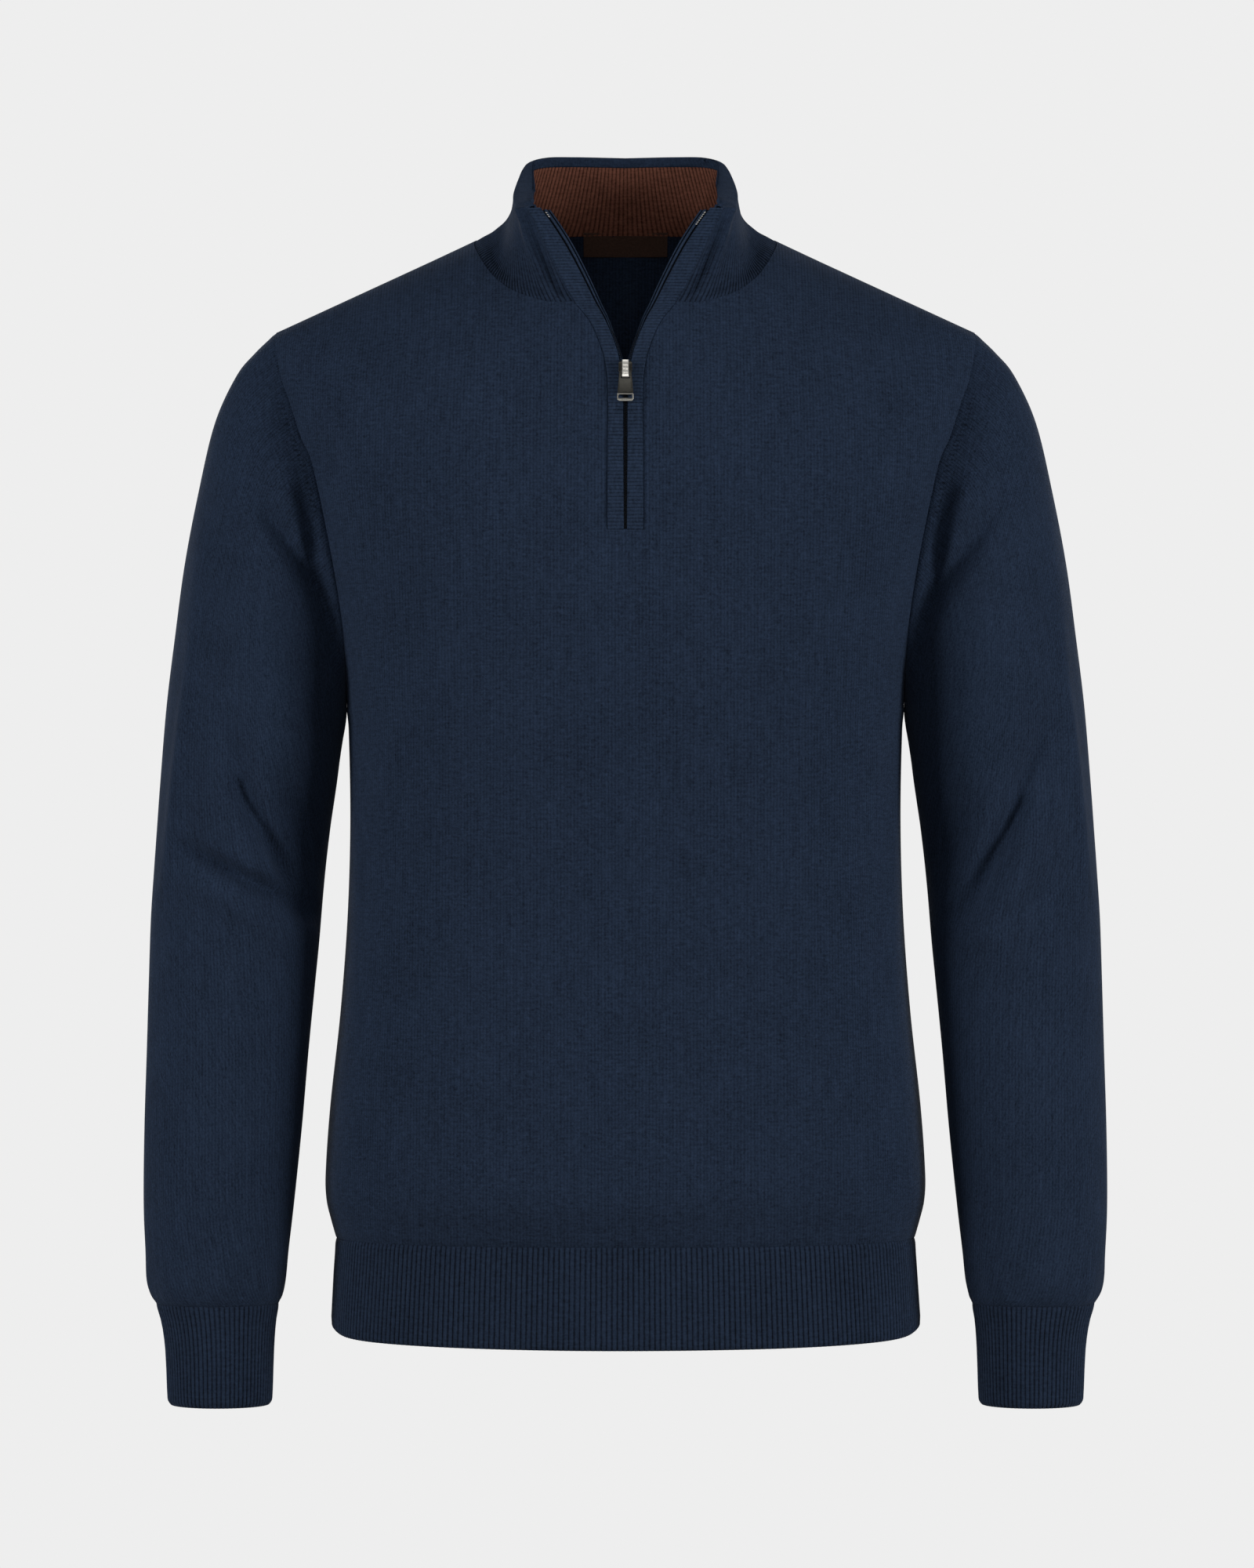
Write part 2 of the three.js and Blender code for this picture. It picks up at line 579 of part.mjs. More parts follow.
// A solid strung along lines that follow one another round its section. Lines may have
// different numbers of points; open lines get a flat end at each side.
function strung(lines, closed) {
  const points = [];
  const starts = lines.map((line) => {
    const start = points.length;
    points.push(...line);
    return start;
  });
  const faces = [];
  lines.forEach((line, k) => {
    const next = (k + 1) % lines.length;
    const other = lines[next];
    const stepsA = closed ? line.length : line.length - 1;
    const stepsB = closed ? other.length : other.length - 1;
    let i = 0;
    let j = 0;
    while (i < stepsA || j < stepsB) {
      const a = starts[k] + (i % line.length);
      const b = starts[next] + (j % other.length);
      const takeA = j >= stepsB || (i < stepsA && (i + 1) / stepsA <= (j + 1) / stepsB + 1e-9);
      if (takeA) {
        faces.push([a, starts[k] + ((i + 1) % line.length), b]);
        i += 1;
      } else {
        faces.push([a, starts[next] + ((j + 1) % other.length), b]);
        j += 1;
      }
    }
  });
  if (!closed) {
    for (const last of [false, true]) {
      const ids = lines.map((line, k) => starts[k] + (last ? line.length - 1 : 0));
      const loop = ids.map((i) => points[i]);
      const axisX = loop[lines.length >> 1].clone().sub(loop[0]).normalize();
      const flat = loop[1].clone().sub(loop[0]).cross(loop[loop.length - 1].clone().sub(loop[0]));
      const axisY = flat.cross(axisX).normalize();
      const shape = loop.map((p) => {
        const d = p.clone().sub(loop[0]);
        return new THREE.Vector2(d.dot(axisX), d.dot(axisY));
      });
      const area = THREE.ShapeUtils.area(shape);
      for (const [a, b, c] of THREE.ShapeUtils.triangulateShape(shape, [])) {
        const keep = area > 0 === last;
        faces.push(keep ? [ids[a], ids[c], ids[b]] : [ids[a], ids[b], ids[c]]);
      }
    }
  }
  return geometryOf(points, evenWinding(faces));
}

// Turns faces until every pair that shares an edge agrees on which side is out.
function evenWinding(faces) {
  const users = new Map();
  faces.forEach((face, f) => {
    for (let k = 0; k < 3; k += 1) {
      const pair = [face[k], face[(k + 1) % 3]].sort((a, b) => a - b).join(" ");
      users.set(pair, (users.get(pair) || []).concat(f));
    }
  });
  const out = faces.map((face) => [...face]);
  const seen = new Set([0]);
  const queue = [0];
  while (queue.length) {
    const f = queue.pop();
    for (let k = 0; k < 3; k += 1) {
      const a = out[f][k];
      const b = out[f][(k + 1) % 3];
      const pair = [a, b].sort((p, q) => p - q).join(" ");
      for (const g of users.get(pair)) {
        if (seen.has(g)) {
          continue;
        }
        seen.add(g);
        queue.push(g);
        const h = out[g];
        const same = [0, 1, 2].some((m) => h[m] === a && h[(m + 1) % 3] === b);
        if (same) {
          out[g] = [h[0], h[2], h[1]];
        }
      }
    }
  }
  return out;
}

// A ribbed tube: two points for each rib outside, a plain wall inside.
function ribbedTube(rows, ribs, ringAt) {
  const line = (row, count, depthAt) => {
    const out = [];
    for (let k = 0; k < count; k += 1) {
      out.push(ringAt(row, k / count, depthAt(k)));
    }
    return out;
  };
  const plain = Math.round(ribs / 4.5);
  const outside = rows.map((row) => line(row, ribs * 2, (k) => (k % 2 ? -ribDepth : 0)));
  const inside = rows.map((row) => line(row, plain, () => -ribWall)).reverse();
  return strung([...outside, ...inside], true);
}

function torsoRing(row, turn, depth) {
  const angle = 2 * Math.PI * turn;
  const power = 2 / squareness;
  const c = Math.cos(angle);
  const s = Math.sin(angle);
  const out = s < 0 ? row.front : row.back;
  const x = row.half * Math.sign(c) * Math.pow(Math.abs(c), power);
  const y = out * Math.sign(s) * Math.pow(Math.abs(s), power);
  const nx = Math.sign(c) * Math.pow(Math.abs(c), 2 - power) / row.half;
  const ny = Math.sign(s) * Math.pow(Math.abs(s), 2 - power) / out;
  const n = Math.hypot(nx, ny);
  return point(x + (depth * nx) / n, y + (depth * ny) / n, row.z);
}

// Equal steps round a section whose angle alone would crowd them.
function evenTurns(ringAt, row) {
  const fine = 2400;
  const lengths = [0];
  let last = ringAt(row, 0, 0);
  for (let i = 1; i <= fine; i += 1) {
    const p = ringAt(row, i / fine, 0);
    lengths.push(lengths[i - 1] + p.distanceTo(last));
    last = p;
  }
  return (turn) => {
    const want = lengths[fine] * turn;
    let low = 0;
    let high = fine;
    while (high - low > 1) {
      const half = (low + high) >> 1;
      if (lengths[half] <= want) {
        low = half;
      } else {
        high = half;
      }
    }
    return (low + (want - lengths[low]) / (lengths[high] - lengths[low])) / fine;
  };
}

function hemRib() {
  const rows = [
    { z: hemTop - seamGap, half: 178.6, front: 112.8, back: 107.8 },
    { z: hemBottom, half: 182.6, front: 114.4, back: 109 },
  ];
  const turns = evenTurns(torsoRing, rows[0]);
  return ribbedTube(rows, hemRibs, (row, turn, depth) => torsoRing(row, turns(turn), depth));
}

function cuffRib(side) {
  const ring = (row, turn, depth) => {
    const angle = 2 * Math.PI * turn;
    const half = (row.outX - row.inX) / 2;
    const x = side * ((row.outX + row.inX) / 2 + (half + depth) * Math.cos(angle));
    return point(x, row.y + (row.half + depth) * Math.sin(angle), row.z);
  };
  const rows = cuff.map((row, k) => (k ? row : { ...row, z: row.z - seamGap }));
  return ribbedTube(rows, cuffRibs, ring);
}

// The collar's surface: u runs from one front end (0) round the back to the other (1), v from
// the neck seam (0) to the folded edge (1).
function collarSurface(u, v) {
  const side = u < 0.5 ? -1 : 1;
  const station = (1 - Math.abs(2 * u - 1)) * (collar.length - 1);
  const at = (column) => columnAt(collar, column, station);
  const k = Math.min(collarRows.length - 2, Math.floor(v));
  const t = v - k;
  const row = (column) => mix(collarRows[k][column], collarRows[k + 1][column], t);
  const into = mix(row("plainIn"), row("spreadIn"), at("spread"));
  const foot = neckAt(station);
  if (v < 1) {
    foot.lerp(onNeckRim(foot).at, 1 - v);
  }
  return point(
    side * mix(foot.x, at("topX"), into),
    mix(foot.y, at("topY"), into),
    mix(foot.z, at("topZ"), row("rise")),
  );
}

// Collar stations at equal distances along its upper edge, and the way the surface faces.
const collarTurns = (() => {
  const fine = 1200;
  const lengths = [0];
  for (let i = 1; i <= fine; i += 1) {
    const a = collarSurface((i - 1) / fine, 1.6);
    lengths.push(lengths[i - 1] + a.distanceTo(collarSurface(i / fine, 1.6)));
  }
  return (turn) => {
    const want = lengths[fine] * clamp(turn);
    let i = 1;
    while (i < fine && lengths[i] < want) {
      i += 1;
    }
    return (i - 1 + (want - lengths[i - 1]) / (lengths[i] - lengths[i - 1])) / fine;
  };
})();

function collarFacing(u, v) {
  const e = 0.006;
  const along = collarSurface(Math.min(1, u + e), v).sub(collarSurface(Math.max(0, u - e), v));
  const lowV = Math.max(0, v - 0.5);
  const highV = Math.min(collarRows.length - 1, v + 0.5);
  const rise = collarSurface(u, highV).sub(collarSurface(u, lowV));
  return { normal: rise.clone().cross(along).normalize(), up: rise.normalize() };
}

function collarPoint(turn, v, depth, lift = 0) {
  const u = collarTurns(turn);
  const p = collarSurface(u, v);
  const { normal, up } = collarFacing(u, v);
  if (turn <= 0 || turn >= 1) {
    const side = turn <= 0 ? -1 : 1;
    normal.add(bandFacing(side, bandPlace(p.z), 0)).normalize();
  }
  if (v === 0) {
    const rim = onNeckRim(point(Math.abs(p.x), p.y, p.z));
    const flip = point(p.x < 0 ? -1 : 1, 1, 1);
    return p.addScaledVector(rim.normal.multiply(flip), depth).addScaledVector(rim.off.multiply(flip), lift);
  }
  return p.addScaledVector(normal, depth).addScaledVector(up, lift);
}

function collarLine(v, count, depthAt, lift) {
  const out = [];
  for (let k = 0; k <= count; k += 1) {
    out.push(collarPoint(k / count, v, depthAt(k), lift));
  }
  return out;
}

// Navy outer collar: ribs outside, and a top edge folded over to the inside.
function outerCollar() {
  const ribbed = collarRibs * 2;
  const plain = Math.round(collarRibs / 2.6);
  const rib = (k) => (k % 2 ? -ribDepth : 0);
  const flat = (depth) => () => depth;
  const top = collarRows.length - 1;
  const lip = top - 0.165;
  const thick = ribWall + seamGap + liningWall;
  return strung([
    collarLine(0, ribbed, rib, seamGap),
    collarLine(1, ribbed, rib, 0),
    collarLine(2, ribbed, rib, 0),
    collarLine(top, ribbed, rib, -0.9),
    collarLine(top, plain, flat(-thick / 2), 0),
    collarLine(top, plain, flat(-thick), -0.9),
    collarLine(lip, plain, flat(-thick), 0),
    collarLine(lip, plain, flat(-ribWall), 0),
    collarLine(2, plain, flat(-ribWall), 0),
    collarLine(1, plain, flat(-ribWall), 0),
    collarLine(0, plain, flat(-ribWall), seamGap),
  ], false);
}

// Brown inner collar: its ribs face the neck.
function innerCollar() {
  const ribbed = collarRibs * 2;
  const plain = Math.round(collarRibs / 2.6);
  const near = ribWall + seamGap;
  const far = near + liningWall;
  const rib = (k) => -far + (k % 2 ? ribDepth * 0.7 : 0);
  const lip = collarRows.length - 1.165;
  return strung([
    collarLine(lip, plain, () => -near, -2 * seamGap),
    collarLine(2, plain, () => -near, 0),
    collarLine(1, plain, () => -near, 0),
    collarLine(0, plain, () => -near, seamGap),
    collarLine(0, ribbed, rib, seamGap),
    collarLine(1, ribbed, rib, 0),
    collarLine(2, ribbed, rib, 0),
    collarLine(lip, ribbed, rib, -2 * seamGap),
  ], false);
}

// A place on the band beside the zip: v up the band, across 0 at the sewn edge and 1 at the
// zip, past 1 on the zip's tape.
function bandSurface(side, v, across) {
  const u = v * (band.length - 1);
  const z = columnAt(band, "z", u);
  const neck = collar[0].z;
  const rise = clamp((z - neck) / (collar[0].topZ - neck));
  const end = collarSurface(0, rowOf(collarRows, "rise", rise));
  const sewn = mix(columnAt(band, "sewnX", u), Math.abs(end.x) - seamGap, clamp((z - neck + 4) / 4));
  const x = mix(sewn, columnAt(band, "zipX", u), across);
  const standing = mix(collar[0].y, collar[0].topY, rise) - 0.16 * (Math.abs(end.x) - x) * rise;
  const lying = torsoY(x, z, -1) + (collar[0].y - torsoY(collar[0].x, neck, -1)) * clamp(1 - (neck - z) / 45);
  const blend = clamp((z - neck + 8) / 16);
  return point(side * x, mix(lying, standing, blend), z);
}

// How far up the band a height is.
function bandPlace(z) {
  return rowOf(band, "z", z) / (band.length - 1);
}

function bandFacing(side, v, across) {
  const e = 0.01;
  const up = bandSurface(side, Math.min(1, v + e), across).sub(bandSurface(side, Math.max(0, v - e), across));
  const over = bandSurface(side, v, across + 0.1).sub(bandSurface(side, v, across - 0.1));
  const normal = up.cross(over).normalize();
  return normal.y > 0 ? normal.negate() : normal;
}

function bandPoint(side, v, across, depth, slide = 0) {
  const p = bandSurface(side, v, across);
  const over = bandSurface(side, v, across + 0.1).sub(bandSurface(side, v, across - 0.1));
  const normal = bandFacing(side, v, across);
  if (across === 0 && p.z > collar[0].z) {
    const rise = clamp((p.z - collar[0].z) / (collar[0].topZ - collar[0].z));
    const end = collarFacing(side < 0 ? 0 : 1, rowOf(collarRows, "rise", rise)).normal;
    normal.add(end).normalize();
  }
  return p.addScaledVector(normal, depth).addScaledVector(over.normalize(), slide);
}

function bandLine(side, across, depth, slide, steps, from, to) {
  const out = [];
  for (let k = 0; k <= steps; k += 1) {
    out.push(bandPoint(side, mix(from, to, k / steps), across, depth, slide));
  }
  return out;
}

function ribBand(side) {
  const steps = bandSteps;
  const line = (across, depth, slide) => bandLine(side, across, depth, slide, steps, 0.003, 1);
  return strung([
    line(0, 0.35, 0.15),
    line(0.5, 0.6, 0),
    line(1, 0.35, 0),
    line(1, 0.35 - ribWall, 0),
    line(0.5, 0.35 - ribWall, 0),
    line(0, 0.35 - ribWall, 0.15),
  ], false);
}

// The zip's tape and closed chain behind the band, out past its edge.
function zipTape(side) {
  const steps = bandSteps;
  const back = 0.35 - ribWall - seamGap;
  const edge = (k) => {
    const v = mix(0.02, 0.985, k / steps);
    const u = v * (band.length - 1);
    const zipX = columnAt(band, "zipX", u);
    return zipX < 3.2 ? zipX - 0.25 : mix(zipX - 0.25, 4.6, clamp((zipX - 3.2) / 8));
  };
  const line = (past, depth) => {
    const out = [];
    for (let k = 0; k <= steps; k += 1) {
      const v = mix(0.02, 0.985, k / steps);
      out.push(bandPoint(side, v, past ? 1 : 0.25, depth, past ? edge(k) : 0));
    }
    return out;
  };
  return strung([line(false, back), line(true, back), line(true, back - tapeWall), line(false, back - tapeWall)], false);
}

// How far back the inner face of the back panel is behind a place.
function backInside(x, z) {
  let y = Infinity;
  for (const face of back.faces) {
    const [a, b, c] = face.map((i) => backInner[i]);
    const area = (b.x - a.x) * (c.z - a.z) - (c.x - a.x) * (b.z - a.z);
    const u = ((x - a.x) * (c.z - a.z) - (c.x - a.x) * (z - a.z)) / area;
    const v = ((b.x - a.x) * (z - a.z) - (x - a.x) * (b.z - a.z)) / area;
    if (u >= -0.02 && v >= -0.02 && u + v <= 1.02) {
      y = Math.min(y, a.y + u * (b.y - a.y) + v * (c.y - a.y));
    }
  }
  return y;
}

// The bare label on the inside of the back, just under the neck seam.
function labelPatch() {
  const steps = 8;
  const line = (z, depth) => {
    const out = [];
    for (let k = 0; k <= steps; k += 1) {
      const x = mix(-labelSize.half, labelSize.half, k / steps);
      out.push(point(x, backInside(x, z) - 2 * seamGap - depth, z - depth));
    }
    return out;
  };
  const rows = [0, 1 / 3, 2 / 3, 1].map((t) => mix(labelSize.top, labelSize.bottom, t));
  return strung([
    ...rows.map((z) => line(z, 0)),
    ...rows.map((z) => line(z, labelWall)).reverse(),
  ], false);
}

// A flat piece: an outline with windows and its thickness. Drawn in X and Z it is thick
// towards the front; drawn from the side it is as wide as it is thick.
function flatPiece(outline, windows, thickness, fromSide) {
  const shape = new THREE.Shape(outline.map(([a, b]) => new THREE.Vector2(a, b)));
  for (const edge of windows) {
    shape.holes.push(new THREE.Path(edge.map(([a, b]) => new THREE.Vector2(a, b))));
  }
  const drawn = new THREE.ExtrudeGeometry(shape, { depth: thickness, bevelEnabled: false });
  const spots = drawn.getAttribute("position");
  const points = [];
  const faces = [];
  for (let i = 0; i < spots.count; i += 1) {
    const [a, b, c] = [spots.getX(i), spots.getY(i), spots.getZ(i)];
    points.push(fromSide ? point(c - thickness / 2, -a, b) : point(a, -c, b));
    if (i % 3 === 2) {
      faces.push([i - 2, i - 1, i]);
    }
  }
  return geometryOf(points, faces);
}

function box(x0, x1, z0, z1) {
  return [[x0, z0], [x1, z0], [x1, z1], [x0, z1]];
}

// An outline narrowed at the corners, half of it given from the bottom up.
function bothSides(half) {
  return half.concat([...half].reverse().map(([x, z]) => [-x, z]));
}

// The slider's own frame: its middle lies on the bands' faces, up runs up the chest.
const sliderSeat = (() => {
  const low = torsoY(0, sliderZ - 6, -1);
  const high = torsoY(0, sliderZ + 6, -1);
  const tilt = -Math.atan2(high - low, 12);
  return { y: (low + high) / 2 - sliderLift, tilt };
})();

function seated(geometry, lean) {
  if (lean) {
    geometry.translate(0, pullHinge.out, -pullHinge.up);
    geometry.rotateX(lean);
    geometry.translate(0, -pullHinge.out, pullHinge.up);
  }
  geometry.rotateX(sliderSeat.tilt);
  geometry.translate(0, sliderSeat.y, sliderZ);
  return geometry;
}

function sliderBody() {
  const outline = bothSides([
    [2.4, -5],
    [3.1, -4.2],
    [4.1, -0.8],
    [4.1, 4.1],
    [3.2, 5],
  ]);
  const piece = flatPiece(outline, [], sliderThick, false);
  piece.translate(0, -seamGap, 0);
  return seated(piece);
}

// The bridge over the slider that the pull hangs from.
function sliderBridge() {
  const foot = sliderThick + 2 * seamGap;
  const outline = [
    [foot, -5],
    [foot + 2.3, -5],
    [foot + 2.9, -4.2],
    [foot + 2.9, 3.6],
    [foot + 1.9, 4.9],
    [foot, 4.9],
    [foot, 2.6],
    [foot + 1.95, 1.6],
    [foot + 1.95, -3.7],
    [foot, -3.7],
  ];
  return seated(flatPiece(outline, [], bridgeWide, true));
}

function pullTab() {
  const out = pullHinge.out - pullThick / 2;
  const hinge = pullHinge.up;
  const outline = bothSides([
    [4.6, -15.6],
    [4.85, -15.2],
    [3.9, -5.4],
    [3.7, hinge + 0.2],
    [3.3, hinge + 0.5],
  ]);
  const window = box(-2.5, 2.5, hinge - 3.9, hinge - 0.5);
  const piece = flatPiece(outline, [window], pullThick, false);
  piece.translate(0, -out, 0);
  return seated(piece, pullLean);
}

function pullEnd() {
  const out = pullHinge.out - pullThick / 2 - 0.15;
  const outline = bothSides([
    [3.9, -20.3],
    [4.7, -19.7],
    [5, -18.9],
    [4.95, -15.9],
  ]);
  const slot = bothSides([
    [3.3, -18.9],
    [3.8, -18.5],
    [3.8, -16.9],
  ]);
  const piece = flatPiece(outline, [slot], pullThick + 0.3, false);
  piece.translate(0, -out, 0);
  return seated(piece, pullLean);
}

const materials = new Map();
function material(kind) {
  if (!materials.has(kind)) {
    materials.set(kind, new THREE.MeshStandardMaterial(kind));
  }
  return materials.get(kind).clone();
}

const group = new THREE.Group();
group.name = "quarter_zip_sweater";
function addPiece(name, geometry, kind) {
  const mesh = new THREE.Mesh(geometry, material(kind));
  mesh.name = name;
  group.add(mesh);
  return mesh;
}

const front = panelSheet(-1);
const back = panelSheet(1);
const sleeves = [-1, 1].map((side) => sleeveSheet(side));
const normalAt = facing([[front, back], sleeves]);
const backInner = back.points.map((p) => p.clone().addScaledVector(normalAt(p), -knitWall));
const apart = (face) => () => point(0, face * seamGap * 0.6, 0);

addPiece("front", wallOf(front, knitWall, normalAt, apart(-1)), navyKnit);
addPiece("back", wallOf(back, knitWall, normalAt, apart(1)), navyKnit);
[-1, 1].forEach((side, k) => {
  const around = armholeSteps * 2;
  const away = (i) => (i < around ? point(side * seamGap * 1.2, 0, 0) : point(0, 0, 0));
  const name = side < 0 ? "right" : "left";
  addPiece("sleeve_" + name, wallOf(sleeves[k], knitWall, normalAt, away), navyKnit);
  addPiece("cuff_" + name, cuffRib(side), navyRib);
  addPiece("placket_band_" + name, ribBand(side), navyRib);
  addPiece("zip_tape_" + name, zipTape(side), navyTape);
});
addPiece("hem_rib", hemRib(), navyRib);
addPiece("collar_outer", outerCollar(), navyRib);
addPiece("collar_inner", innerCollar(), brownRib);
addPiece("neck_label", labelPatch(), labelCloth);
addPiece("slider_body", sliderBody(), gunmetal);
addPiece("slider_bridge", sliderBridge(), bright);
addPiece("pull_tab", pullTab(), gunmetal);
addPiece("pull_end", pullEnd(), bright);

export default group;
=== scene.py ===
import bpy
import math
import numpy as np
from mathutils import Matrix, Vector


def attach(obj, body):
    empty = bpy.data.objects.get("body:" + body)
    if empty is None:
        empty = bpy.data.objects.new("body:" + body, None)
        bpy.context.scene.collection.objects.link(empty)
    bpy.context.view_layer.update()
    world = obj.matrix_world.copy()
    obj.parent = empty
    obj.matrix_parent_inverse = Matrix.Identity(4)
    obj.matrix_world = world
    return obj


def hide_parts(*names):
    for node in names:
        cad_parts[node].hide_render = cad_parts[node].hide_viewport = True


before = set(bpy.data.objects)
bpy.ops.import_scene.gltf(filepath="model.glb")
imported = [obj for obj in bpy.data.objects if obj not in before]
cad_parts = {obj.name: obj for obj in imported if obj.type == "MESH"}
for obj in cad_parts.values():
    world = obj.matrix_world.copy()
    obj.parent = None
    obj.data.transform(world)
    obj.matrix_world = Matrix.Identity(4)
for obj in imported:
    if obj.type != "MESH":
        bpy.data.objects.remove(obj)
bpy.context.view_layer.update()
print("frame loaded:", len(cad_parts), "nodes")

# The form is worked out in millimetres from the same sizes as the solids, then made in metres.
mm = 0.001

bodyForm = {
    "hemZ": -616.85,
    "underarmZ": -292,
    "placketZ": -185.2,
    "bandHalf": 11.2,
    "ridgeY": 4,
    "neckSideX": 93.6,
    "neckSideZ": -2.2,
    "neckFlat": 70,
    "shoulderSlope": 0.46,
    "archDepth": 135,
    "squareness": 2.5,
    "wall": 1.3,            # the knit's thickness
    "lowerRows": 112,       # rows of faces between the hem and the underarm
    "upperSteps": 12,       # rows for each step of the armhole
    "columns": 62,
}

torso = {
    "z": [-617, -606, -595, -580, -537, -479, -420, -362, -304, -292, -234, -191, -143, -100, -59, 7],
    "half": [178.9, 182, 184.6, 185.3, 182.4, 176.1, 171.7, 170, 171, 172.3, 180, 190, 204, 216, 226, 242],
    "front": [113, 116.5, 120, 121.5, 120, 118, 117.5, 120, 124, 124.5, 125.5, 124, 119, 112.5, 105, 94],
    "back": [108, 111.5, 114.5, 115.5, 112, 106, 103, 106, 113, 114.5, 120, 122.5, 122, 118, 113, 110],
}
armhole = {
    "x": [216.3, 216.2, 211.6, 206.2, 198.7, 191.3, 181.1, 174.2, 172, 172.3],
    "backX": [216.3, 217.5, 214, 210.5, 204.5, 199.5, 189, 180, 174.5, 172.3],
    "z": [-58.7, -67, -88.6, -103.5, -126, -143.4, -191, -234, -266, -292],
    "front": [4, -12, -27, -34.5, -42, -49, -49.5, -44, -31, 0],
    "back": [4, 17, 30, 36.5, 43, 49, 51, 46, 32, 0],
}
collar = {
    "x": [31, 45.6, 57.5, 70.2, 81.5, 90.6, 93.6, 87, 71, 48, 24, 0],
    "y": [-87.5, -84.5, -79, -70, -55, -29, 4, 22, 38.5, 51.5, 58.6, 60.8],
    "z": [-45.9, -45.9, -42.6, -36.9, -27, -12.4, -2.2, 0, 2.2, 5.2, 6.6, 7],
    "topX": [60.5, 67.2, 68.6, 68.8, 67.8, 66.2, 64, 60, 49.5, 32.8, 16.2, 0],
    "topY": [-70, -58, -45, -30, -15, 1, 15, 27, 37.5, 43.8, 46.6, 47.5],
    "topZ": [13.4, 13.9, 18.6, 24.6, 31, 38, 44.5, 49.6, 52.9, 53.7, 53.7, 53.4],
    "spread": [0, 0, 0.1, 0.3, 0.6, 0.9, 1, 0.8, 0.5, 0.3, 0.2, 0.2],
}
collarRise = {"rise": [0, 0.14, 0.4, 1], "spreadIn": [0, 0.44, 0.74, 1], "plainIn": [0, 0.17, 0.43, 1]}
zipBand = {
    "z": [-185, -150, -104, -86, -73, -58.6, -46, -29.5, -12.5, 1.2, 12.6],
    "sewnX": [10.9, 10.8, 10.5, 11.8, 15, 21.3, 30.8, 37.8, 46.2, 53.6, 60],
    "zipX": [0.9, 1.2, 1.5, 3, 6.1, 11.8, 18.4, 26.5, 35.5, 44, 51.8],
}
sleeve = {
    "outX": [216.3, 229.6, 241, 254.1, 264.3, 272.5, 278.3, 283.5, 287.2, 289.2, 290.8, 292.5, 293.4, 294.4, 295.6,
             295.9, 294.8, 292.6, 288.6],
    "outZ": [-58.7, -71.6, -85.8, -114.9, -158.6, -202.2, -245.9, -289.5, -336, -366, -391, -420, -455, -500, -548,
             -592, -620, -644, -655.7],
    "inX": [172.3, 172.7, 173.5, 175, 176.8, 178.3, 180.3, 182.3, 184.6, 186.1, 187.3, 188.9, 191.3, 195, 198.8,
            203.2, 206.4, 209.6, 212.2],
    "inZ": [-292, -297.5, -303.5, -312, -324, -336, -350, -364, -384, -400, -415, -436, -462, -502, -548,
            -592, -620, -644, -655.7],
    "half": [47, 52.5, 56.5, 60.5, 63.5, 64.5, 64, 62.5, 59.5, 57, 55, 52.5, 50, 47.5, 45.5, 44, 42, 39.6, 36.2],
    "y": [0, 0, 0, 0, 0, -1, -2, -3.5, -6, -8.5, -11, -14, -18, -22.5, -26.5, -29.5, -31, -31.8, -32],
}

